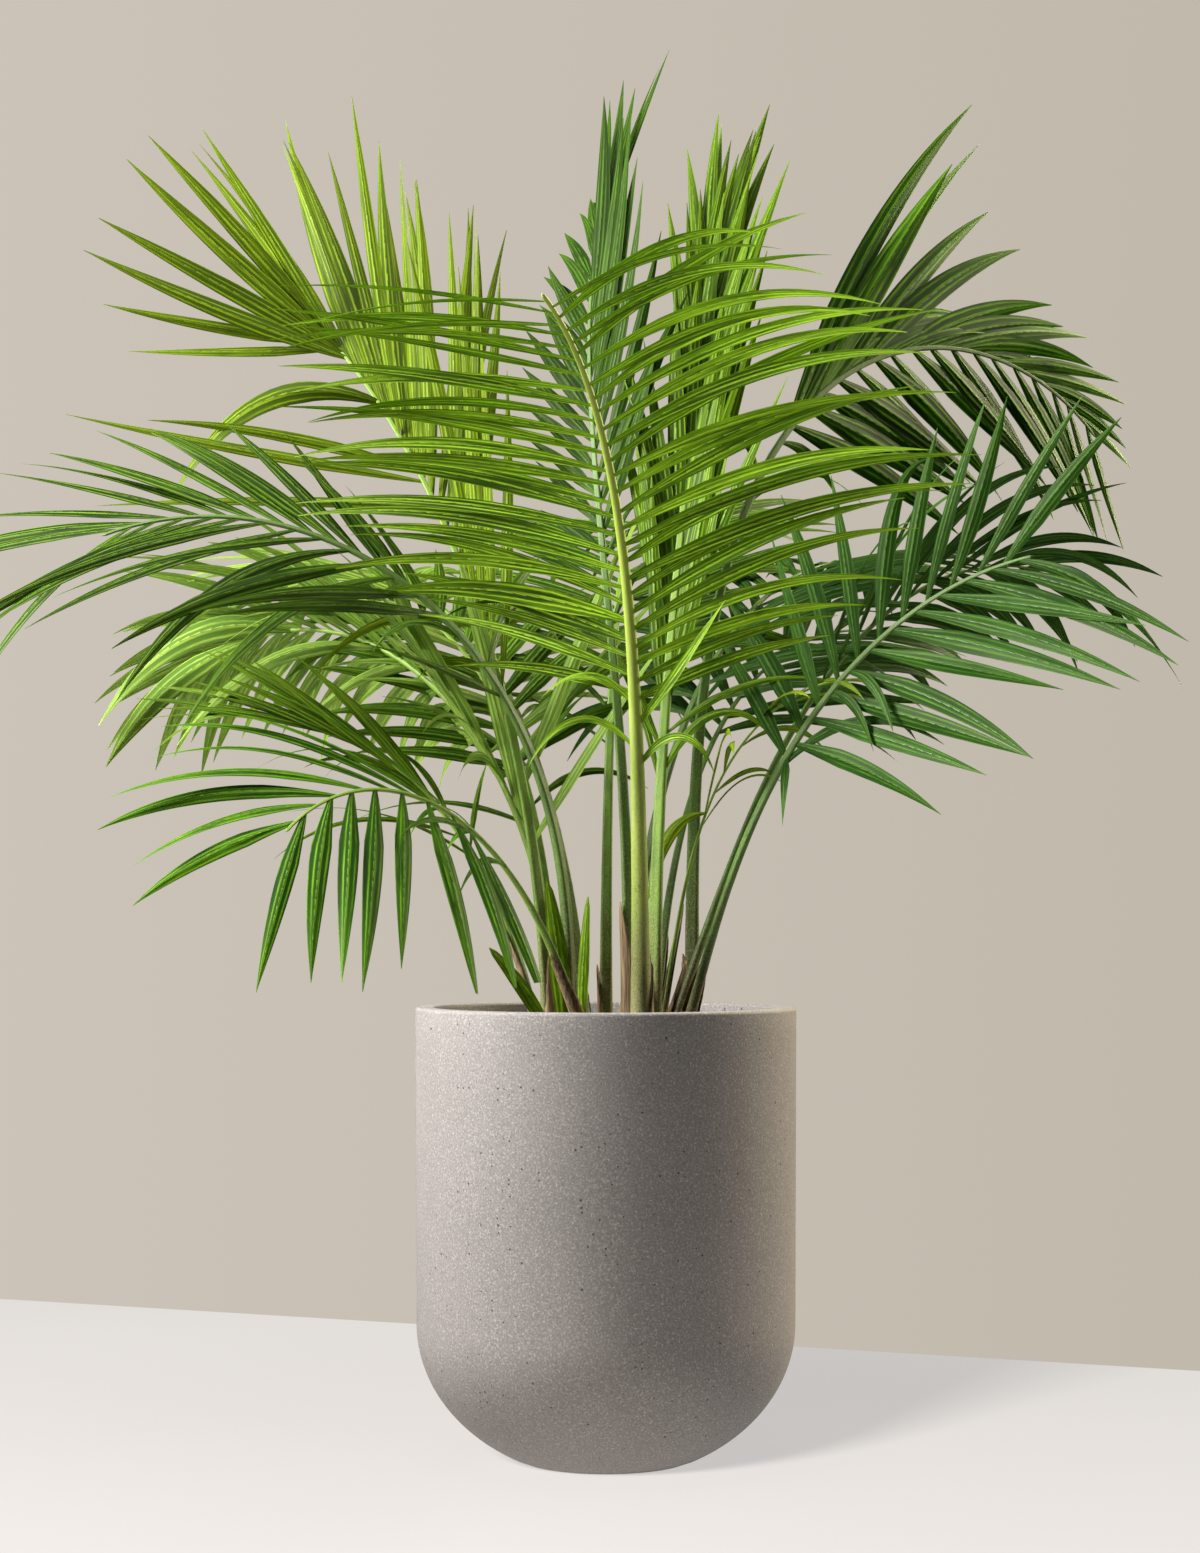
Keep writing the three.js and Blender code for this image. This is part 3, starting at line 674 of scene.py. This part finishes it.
def leaf_blade(name, green, deeper, glow):
    """Living palm leaflet: satin cuticle with fine lengthwise veins, that light shines through."""
    made, tree = new_material(name)
    across, along, leaf = (attribute(tree, key) for key in ("across", "along", "leaf"))
    # Streaks run with the leaf: about seven across its width, each a quarter of its length
    place = shade(tree, "CombineXYZ", {
        "X": times(tree, across, 2.2), "Y": times(tree, along, 2.6), "Z": times(tree, leaf, 60.0)})
    streak = shade(tree, "TexNoise", {
        "Vector": place, "Scale": 1.5, "Detail": 4.0, "Roughness": 0.66})
    tint = blend(tree, ramp(tree, streak, 0.42, 0.58), green, deeper)
    # Older and younger leaflets of one frond differ, and tips yellow a little
    tint = blend(tree, times(tree, leaf, 0.45), tint, deeper)
    tint = blend(tree, times(tree, ramp(tree, along, 0.55, 1.0), 0.25), tint, glow)
    # Painted shade: each leaflet's stored share darkens it towards a grey green
    tint = blend(tree, attribute(tree, "dim"), tint, "#83997c", "MULTIPLY")
    # Main veins show as pale lines, about two on each side of the midrib
    veins = maths(tree, "SINE", times(tree, across, 11.0))
    pale = times(tree, ramp(tree, veins, 0.1, 1.0), ramp(tree, streak, 0.64, 0.40))
    relief = times(tree, veins, attribute(tree, "half_width"))
    return finished(made, {
        "Base Color": blend(tree, pale, tint, glow), "Normal": bump(tree, relief, 0.12, 0.04),
        "Roughness": 0.52, "IOR": 1.4, "Specular IOR Level": 0.24,
        "Specular Tint": colour("#dfe8b4"),
    }, BLADE_LETS_THROUGH, blend(tree, ramp(tree, streak, 0.3, 0.75), glow, deeper))


def leaf_detail(name, tone, glow):
    """Midribs and tips: the same leaf tissue in one tone with a little mottling."""
    made, tree = new_material(name)
    mottle = noise(tree, 180.0, 2.0)
    return finished(made, {
        "Base Color": blend(tree, ramp(tree, mottle, 0.3, 0.8), tone, glow),
        "Roughness": 0.45, "Specular IOR Level": 0.2}, RIB_LETS_THROUGH, colour(glow))


def stalk_finish(name, light, shaded, young, foot):
    """Living palm stalk: smooth rind, greener above, with dry brown scurf towards the foot."""
    made, tree = new_material(name)
    along = attribute(tree, "along")
    streaks = noise(tree, 110.0, 4.0, 0.65, 0.10)
    scurf = noise(tree, 900.0, 2.0, 0.7, 0.7)
    patchy = noise(tree, 34.0, 3.0, 0.6, 0.35)
    body = blend(tree, ramp(tree, streaks, 0.38, 0.64), light, shaded)
    body = blend(tree, ramp(tree, along, 0.30, 0.62), body, young)
    reach = maths(tree, "ADD", along, times(tree, patchy, 0.16))
    body = blend(tree, times(tree, ramp(tree, reach, 0.24, 0.07), 0.85), body, foot)
    flecks = times(tree, ramp(tree, scurf, 0.54, 0.62), ramp(tree, along, 0.40, 0.0))
    body = blend(tree, flecks, body, "#8d8468")
    pits = times(tree, ramp(tree, scurf, 0.44, 0.36), ramp(tree, along, 0.45, 0.0))
    body = blend(tree, pits, body, "#40351f")
    relief = bump(tree, scurf, 0.25, 0.0004, bump(tree, streaks, 0.5, 0.0008))
    return finished(made, {"Base Color": body, "Normal": relief, "Roughness": 0.52, "IOR": 1.42,
                           "Specular IOR Level": 0.36})


def pot_finish():
    """Fibre-cement composite, cast and sanded: dry, faintly grainy, with pale sand and pinholes."""
    made, tree = new_material("cast_cement_composite")
    cloud = noise(tree, 9.0, 4.0, 0.55)
    body = blend(tree, ramp(tree, cloud, 0.35, 0.7), "#74706e", "#6d6a67")
    # Sand grains of 0.5 mm are drawn about 1.5 mm across so that they show
    grain = noise(tree, 620.0, 2.0, 0.75)
    body = blend(tree, ramp(tree, grain, 0.53, 0.68), body, "#94908c")
    body = blend(tree, ramp(tree, grain, 0.47, 0.32), body, "#625e5b")
    # Pinholes up to 2 mm across lie in loose clusters, where the casting held more air, and are
    # painted near black as painted shade inside them
    place = add(tree, "ShaderNodeTexCoord").outputs["Object"]
    cells = add(tree, "ShaderNodeTexVoronoi", {"Vector": place, "Scale": 210.0})
    picked = add(tree, "ShaderNodeSeparateColor", {0: cells.outputs["Color"]})
    airy = noise(tree, 16.0, 2.0)
    few = ramp(tree, maths(tree, "ADD", picked.outputs[0], airy), 1.36, 1.38)
    reach = maths(tree, "ADD", 0.10, times(tree, picked.outputs[1], 0.12))
    pinhole_and_shade = times(tree, few, maths(tree, "LESS_THAN", cells.outputs["Distance"], reach))
    relief = bump(tree, pinhole_and_shade, 0.8, 0.001, bump(tree, grain, 0.2, 0.0006), invert=True)
    # Painted shade: the pinholes are coloured near black
    return finished(made, {"Base Color": blend(tree, pinhole_and_shade, body, "#2c2926"), "Normal": relief,
                           "Roughness": 0.72, "IOR": 1.5})


def soil_finish():
    """Peat and bark mix: dark, damp, rough."""
    made, tree = new_material("peat_mix")
    lumps = noise(tree, 140.0, 5.0, 0.65)
    tint = blend(tree, ramp(tree, lumps, 0.35, 0.7), "#2b211a", "#4a3a2c")
    return finished(made, {"Base Color": tint, "Normal": bump(tree, lumps, 0.9, 0.004),
                           "Roughness": 0.9})


def husk_finish():
    """Dead leaf bases: dry brown fibre in lengthwise strands."""
    made, tree = new_material("dry_husk_fibre")
    strands = noise(tree, 500.0, 3.0, 0.6, 0.06)
    tint = blend(tree, ramp(tree, strands, 0.35, 0.68), "#4b3a28", "#8d7752")
    return finished(made, {"Base Color": tint, "Normal": bump(tree, strands, 0.8, 0.0015),
                           "Roughness": 0.85})


def plain_finish(name, tone, roughness):
    """Bark chips and perlite: one tone, with a little grain."""
    made, tree = new_material(name)
    tint = blend(tree, ramp(tree, noise(tree, 300.0), 0.3, 0.75), tone,
                 blend(tree, 0.35, tone, "#000000"))
    return finished(made, {"Base Color": tint, "Roughness": roughness})


# Pieces

def lathe(name, profile, sides):
    """Closed turned piece from a profile of radius and height that starts and ends on the axis."""
    points = [(0, 0, profile[0][1])]
    for radius, height in profile[1:-1]:
        points += circle(radius, height, sides)
    points.append((0, 0, profile[-1][1]))
    faces = skin(len(profile) - 2, list(range(sides)), first=1)
    last = len(points) - 1 - sides
    for i in range(sides):
        j = (i + 1) % sides
        faces += [(0, 1 + j, 1 + i), (last + i, last + j, len(points) - 1)]
    return link_mesh(name, points, faces)


def bowl_profile(radius, depth, floor, steps):
    start = asin((BOWL_TOP - floor) / depth)
    angles = [start * (1 - i / steps) for i in range(steps + 1)]
    return [(radius * cos(a), BOWL_TOP - depth * sin(a)) for a in angles]


def make_pot():
    """Planter, its profile drawn from the foot up the outside, over the lip and down inside."""
    inner = RIM_RADIUS - WALL
    outside = bowl_profile(BOWL_RADIUS, BOWL_DEPTH, 0.0, 36)
    foot = outside[0][0]
    corner = [(foot - 2.0, 0.0), (foot - 0.8, 0.25), (foot + 0.6, 0.9)]
    wall = [(mix(BOWL_RADIUS, RIM_RADIUS, t), mix(BOWL_TOP, POT_HEIGHT - LIP_ROUND, t))
            for t in np.linspace(0, 1, 16)[1:]]
    lip = [(RIM_RADIUS - LIP_ROUND * (1 - cos(a)), POT_HEIGHT - LIP_ROUND * (1 - sin(a)))
           for a in np.linspace(0, pi / 2, 6)[1:]]
    back = [(inner + LIP_ROUND * (1 - sin(a)), POT_HEIGHT - LIP_ROUND * (1 - cos(a)))
            for a in np.linspace(0, pi / 2, 6)]
    inside = bowl_profile(BOWL_RADIUS - WALL, BOWL_DEPTH - FLOOR_THICKNESS, FLOOR_THICKNESS, 20)
    profile = ([(0, 0)] + [(foot * 0.5, 0.0)] + corner + outside[2:] + wall + lip + back
               + inside[::-1] + [(0, FLOOR_THICKNESS)])
    piece = lathe("planter_shell", profile, 128)
    piece.data.materials.append(pot_finish())
    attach(piece, "root")
    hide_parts("pot")
    return piece


def crumb_tree():
    """Scatters bark chips over the soil, each turned and sized at random, and some of them white."""
    tree, given, result = new_tree("soil_crumbs", {
        "Density": 22000.0, "Smallest": 0.5, "Largest": 1.6, "Bark Share": 0.965, "Seed": 7,
        "Chip": "Object", "Chip Finish": "Material", "Perlite Finish": "Material"})
    points = geo(tree, "DistributePointsOnFaces", {
        "Mesh": given["Geometry"], "Density": given["Density"], "Seed": given["Seed"]})
    chip = add(tree, "GeometryNodeObjectInfo", {"Object": given["Chip"]})
    size = add(tree, "FunctionNodeRandomValue", {
        "Min": given["Smallest"], "Max": given["Largest"], "Seed": given["Seed"]})
    turn = add(tree, "FunctionNodeRandomValue", {
        0: (-3.1, -3.1, -3.1), 1: (3.1, 3.1, 3.1), "Seed": given["Seed"]},
        data_type="FLOAT_VECTOR")
    chips = geo(tree, "InstanceOnPoints", {
        "Points": points, "Instance": chip.outputs["Geometry"],
        "Rotation": turn.outputs[0], "Scale": size.outputs[1]})
    dealt = add(tree, "FunctionNodeRandomValue", {"Seed": 3})
    marked = geo(tree, "StoreNamedAttribute", {
        "Geometry": chips, "Name": "dealt", "Value": dealt.outputs[1]}, domain="INSTANCE")
    whole = geo(tree, "RealizeInstances", {"Geometry": marked})
    bark = geo(tree, "SetMaterial", {"Geometry": whole, "Material": given["Chip Finish"]})
    share = geo(tree, "InputNamedAttribute", {"Name": "dealt"})
    white = maths(tree, "GREATER_THAN", share, given["Bark Share"])
    both = geo(tree, "SetMaterial", {
        "Geometry": bark, "Selection": white, "Material": given["Perlite Finish"]})
    tree.links.new(both, result)
    return tree


def bark_chip():
    """Flat lumpy chip, 7 mm long before it is sized."""
    shape = bmesh.new()
    bmesh.ops.create_icosphere(shape, subdivisions=1, radius=2.6 * MM)
    for i, vertex in enumerate(shape.verts):
        vertex.co *= 1 + 0.3 * wobble(5, i)
        vertex.co.z *= 0.55
        vertex.co.x *= 1.35
    mesh = bpy.data.meshes.new("bark_chip")
    shape.to_mesh(mesh)
    shape.free()
    return bpy.data.objects.new("bark_chip", mesh)


def make_soil():
    """Uneven soil surface closed underneath, with a scatter of chips half sunk in it."""
    side = mix(BOWL_RADIUS, RIM_RADIUS, (SOIL_TOP - BOWL_TOP) / (POT_HEIGHT - BOWL_TOP)) - WALL
    rings, sides = 30, 72
    points, faces = [(0, 0, SOIL_TOP)], []
    for r in range(1, rings + 1):
        # Lumps 9 mm apart on a slow swell, lower by 1.5 mm at the wall
        for x, y, z in circle(side * 0.997 * r / rings, SOIL_TOP, sides):
            lumps = 1.6 * wobble(int(x / 9), int(y / 9))
            swell = 1.5 * sin(x / 17 + 1) * cos(y / 21)
            points.append((x, y, z + (lumps + swell) - 1.5 * (r / rings) ** 6))
    for i in range(sides):
        j = (i + 1) % sides
        faces.append((0, 1 + i, 1 + j))
        for r in range(rings - 1):
            a = 1 + r * sides
            faces.append((a + i, a + sides + i, a + sides + j, a + j))
    base, edge = len(points), 1 + (rings - 1) * sides
    points += circle(side * 0.99, SOIL_TOP - 30, sides)
    faces += [(edge + i, base + i, base + (i + 1) % sides, edge + (i + 1) % sides)
              for i in range(sides)]
    faces.append(tuple(base + i for i in reversed(range(sides))))
    piece = link_mesh("soil_surface", points, faces)
    piece.data.materials.append(soil_finish())

    top = piece.data.copy()
    crumbs = placed("soil_crumbs", top)
    keep = bmesh.new()
    keep.from_mesh(top)
    bmesh.ops.delete(keep, geom=[f for f in keep.faces if f.normal.z < 0.5], context="FACES")
    keep.to_mesh(top)
    keep.free()
    chip = bark_chip()
    bake_nodes(crumbs, crumb_tree(), {
        "Chip": chip,
        "Chip Finish": plain_finish("bark_chips", "#4d3a2a", 0.85),
        "Perlite Finish": plain_finish("perlite", "#cfc8bb", 0.8),
    })
    bpy.data.objects.remove(chip)
    for item in (piece, crumbs):
        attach(item, "root")
        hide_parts("soil")


def stalk_ring(centre, upper, across, radius, groove, sides):
    """Outline of a stalk: round below, flatter above, with a shallow channel down its middle."""
    ring = []
    for i in range(sides):
        a = 2 * pi * i / sides
        up = cos(a)
        depth = up * (0.72 if up > 0 else 1.0)
        depth -= groove * max(0.0, up) ** 6
        ring.append(centre + upper * depth * radius + across * sin(a) * radius)
    return ring


def make_stalk(name, frond, finish):
    """Petiole and rib in one closed piece, from a flared foot to the frond's tip."""
    spine, seed, sides = spine_of(frond), seed_of(name), 14
    shares = np.concatenate([np.linspace(0, frond["bare"], 26),
                             np.linspace(frond["bare"], 0.992, 40)[1:]])
    points, along = [], []
    # The foot lies flat and flares by a fifth, and the blade's roll comes in along the stalk
    flat = dict(frond, lean=(0, 0), turn=0, roll=0)
    for n, s in enumerate(shares):
        turned = dict(frond, roll=frond["roll"] * min(1.0, s / frond["bare"]))
        _, upper, across = direction(turned if n else flat, s)
        flare = 1 + 0.22 * max(0.0, 1 - s / 0.05) ** 1.5
        radius = rib_radius(frond, s) * flare * (1 + 0.012 * wobble(seed, n))
        groove = 0.3 * min(1.0, s / 0.1)
        points += stalk_ring(point_at(spine, s), upper, across, radius, groove, sides)
        along += [s] * sides
    points.append(spine[-1])
    along.append(1.0)
    last = (len(shares) - 1) * sides
    faces = [tuple(reversed(range(sides)))] + skin(len(shares), list(range(sides)))
    faces += [(last + i, last + (i + 1) % sides, len(points) - 1) for i in range(sides)]
    piece = link_mesh(f"stalk_{name}", points, faces)
    store(piece.data, "along", along)
    piece.data.materials.append(finish)
    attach(piece, "root")
    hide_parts(f"petiole_{name}")


def make_leaflets(name, frond, tree, finishes):
    piece = guides_of(f"leaflets_{name}", leaflet_lines(name, frond))
    bake_nodes(piece, tree, finishes[frond["tone"]])
    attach(piece, "root")
    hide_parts(*[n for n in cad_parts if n.startswith(f"frond_{name}")
                         and n.removeprefix(f"frond_{name}") in ("", "_low", "_high")])


def make_young_leaf(name, leaf, tree, finishes):
    foot, length, width, lean, heading, turned = leaf
    face = np.array([cos(radians(turned)), sin(radians(turned)), 0.0])
    points, uppers = [np.array([*foot, STEM_TOP + GAP], float)], []
    for i in range(YOUNG_STEPS + 1):
        way = tilted(radians(mix(*lean, i / YOUNG_STEPS)), radians(heading))
        uppers.append(square_on(way, face))
        if i < YOUNG_STEPS:
            points.append(points[-1] + way * length / YOUNG_STEPS)
    # Half as wide at the foot as in the middle, and 0.8 mm wide at the tip
    u = np.linspace(0, 1, YOUNG_STEPS + 1)
    half = width / 2 * (0.3 + 0.7 * np.sin(pi * np.minimum(1, u * 0.92 + 0.08)))
    half[-1] = 0.4
    line = dict(points=np.array(points), uppers=np.array(uppers), half=half, along=u, tone=1,
                dim=0.0)
    piece = guides_of(name.replace("young", "seedling"), [line])
    bake_nodes(piece, tree, finishes["fresh"])
    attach(piece, "root")
    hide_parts(name)


def make_stem(name, feet, finish):
    """Clump of dry leaf bases wrapped round the feet that it carries."""
    sides, rings = 72, 9
    soil_margin, top_margin = 9.0, 4.0
    points = []
    for r in range(rings):
        t = r / (rings - 1)
        z = mix(SOIL_TOP + GAP - 3, STEM_TOP, t)
        margin = mix(soil_margin, top_margin, t ** 0.7)
        for i in range(sides):
            a = 2 * pi * i / sides
            way = np.array([cos(a), sin(a)])
            far = max(feet, key=lambda f: np.dot(f["foot"], way) + f["stout"])
            ridge = 0.5 * wobble(i, 3) + 0.3 * wobble(i, r)
            place = np.array(far["foot"]) + way * (far["stout"] + margin + ridge)
            ragged = 0.6 * abs(wobble(i, 9)) if r == rings - 1 else 0
            points.append((place[0], place[1], z - ragged))
    piece = link_mesh(f"leaf_bases_{name}", points, skin(rings, list(range(sides)), closed=True))
    piece.data.materials.append(finish)
    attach(piece, "root")
    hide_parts(f"stem_{name}")


def make_sheaths(name, carried, finish):
    """Dry sheath margins: a ragged brown shell that hugs the foot of each stalk and thins out."""
    points, faces = [], []
    steps, wide = 16, 9
    # Round a ring: along its outer side, and back along its inner side
    loop = list(range(wide)) + list(range(2 * wide - 1, wide - 1, -1))
    for number, frond in enumerate(carried):
        spine, seed = spine_of(frond), 11 * number + seed_of(name)
        height = 95 + 45 * wobble(seed, 1)
        turn = radians(-70 + 130 * wobble(seed, 2))
        faces += skin(steps + 1, loop, first=len(points), closed=True)
        # It wraps the stalk half way round at the foot, and narrows and stands off above
        for r in range(steps + 1):
            t = r / steps
            s = t * height / frond["length"]
            along, upper, across = direction(dict(frond, roll=0), s)
            half = 1.9 * (1 - t ** 1.6) + 0.05
            outer = rib_radius(frond, s) * 1.12 + 0.9 + 1.8 * t ** 3
            for radius in (outer, outer - 0.7):
                for i in range(wide):
                    ragged = 0.09 * wobble(seed + r, 3 + (i == 0)) if i in (0, wide - 1) else 0
                    a = turn + half * (2 * i / (wide - 1) - 1) + ragged
                    points.append(point_at(spine, s)
                                  + radius * (cos(a) * upper + sin(a) * across))
    piece = link_mesh(f"sheaths_{name}", points, faces)
    piece.data.materials.append(finish)
    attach(piece, "root")
    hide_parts(f"stem_{name}")


# Stage

def make_stage():
    """Pale table that ends a little behind the pot, as the photo shows."""
    corners = [(-TABLE_SIDE, TABLE_FRONT), (TABLE_SIDE, TABLE_FRONT),
               (TABLE_SIDE, TABLE_FAR_RIGHT), (-TABLE_SIDE, TABLE_FAR_LEFT)]
    floor = link_mesh("floor", [(x / MM, y / MM, 0) for x, y in corners], [(0, 1, 2, 3)])
    # White acrylic lit from below, so that shadows on it stay faint
    made, tree = new_material("backlit_white_acrylic")
    haze = blend(tree, ramp(tree, noise(tree, 2.0, 2.0), 0.3, 0.7), "#484849", "#464647")
    floor.data.materials.append(finished(made, {
        "Base Color": haze, "Roughness": 0.6, "Emission Color": colour("#ece8e5"),
        "Emission Strength": 0.67}))
    return floor


def soft_box(name, place, aim, size, power, tint):
    data = bpy.data.lights.new(name, "AREA")
    data.shape = "RECTANGLE"
    data.size, data.size_y = size
    data.energy = power
    data.color = colour(tint)[:3]
    lamp = placed(name, data)
    lamp.location = place
    x, y, z = np.subtract(aim, place)
    lamp.rotation_euler = (atan2(hypot(x, y), -z), 0, atan2(x, -y) + pi)
    return lamp.light_linking


def only(lamp, lit):
    """Let a lamp light these pieces and no other."""
    group = bpy.data.collections.new("lit")
    for piece in lit:
        group.objects.link(piece)
    lamp.receiver_collection = group


def all_but(lamp, unlit):
    """Let a lamp light everything apart from these pieces."""
    only(lamp, unlit)
    for link in lamp.receiver_collection.collection_objects:
        link.light_linking.link_state = "EXCLUDE"


def make_lights(floor, pot):
    """Lamps, with one for the table alone and one for the pot alone."""
    lamps = {name: soft_box(name, *settings) for name, settings in LAMPS.items()}
    only(lamps["window_on_table"], [floor])
    # The pot's lamp stands near, so its light falls off down the wall, and no leaf shades it
    only(lamps["near_pot"], [pot])
    lamps["near_pot"].blocker_collection = lamps["near_pot"].receiver_collection
    all_but(lamps["rim_from_right"], [floor])
    all_but(lamps["key_from_left"], [floor, pot])


def make_world():
    """Wall that the camera sees, with painted shade that darkens it to the right, and a faint even
    fill on the pieces.
    """
    world = bpy.data.worlds.new("studio")
    world.use_nodes = True
    bpy.context.scene.world = world
    tree = world.node_tree
    tree.nodes.clear()
    fill = add(tree, "ShaderNodeBackground", {"Color": colour("#f3efe9"), "Strength": 0.03})
    way = add(tree, "ShaderNodeSeparateXYZ", {0: add(tree, "ShaderNodeTexCoord").outputs["Generated"]})
    # Painted shade: the wall darkens towards the right
    wall = blend(tree, ramp(tree, way.outputs["X"], -0.22, 0.22), "#ccc4b8", "#c0b8ab")
    seen = add(tree, "ShaderNodeBackground", {"Color": wall, "Strength": 1.0})
    path = add(tree, "ShaderNodeLightPath")
    both = add(tree, "ShaderNodeMixShader", {
        0: path.outputs["Is Camera Ray"], 1: fill.outputs[0], 2: seen.outputs[0]})
    add(tree, "ShaderNodeOutputWorld", {"Surface": both.outputs[0]})


def make_camera():
    data = bpy.data.cameras.new("camera")
    data.sensor_fit = "AUTO"
    data.sensor_width = SENSOR_MM
    data.lens = SENSOR_MM * FOCAL_PIXELS / PHOTO_HEIGHT_PIXELS
    camera = placed("camera", data)
    camera.location = CAMERA_PLACE
    camera.rotation_euler = (radians(90 + CAMERA_PITCH), 0, 0)
    bpy.context.scene.camera = camera


make_camera()
make_lights(make_stage(), make_pot())
make_world()
bpy.context.scene.view_settings.view_transform = "Standard"

make_soil()
husk = husk_finish()
for stem, carried in STEMS.items():
    feet = [FRONDS[name] for name in carried]
    make_stem(stem, feet, husk)
    make_sheaths(stem, feet, husk)

greens = {}
for tone, (pale, dark, glow, midrib, tip) in TONES.items():
    greens[tone] = {
        "Blade Light": leaf_blade(f"leaf_{tone}_light", pale, dark, glow),
        "Blade Dark": leaf_blade(f"leaf_{tone}_dark", dark, dark, glow),
        "Midrib": leaf_detail(f"leaf_{tone}_midrib", midrib, glow),
        "Tip": leaf_detail(f"leaf_{tone}_tip", tip, glow),
    }
rinds = {name: stalk_finish(f"palm_stalk_{name}", *tones) for name, tones in RINDS.items()}
strips = strip_tree()
for frond_name, frond_spec in FRONDS.items():
    make_stalk(frond_name, frond_spec, rinds[frond_spec["rind"]])
    make_leaflets(frond_name, frond_spec, strips, greens)
for leaf_name, leaf_spec in YOUNG_LEAVES.items():
    make_young_leaf(leaf_name, leaf_spec, strips, greens)
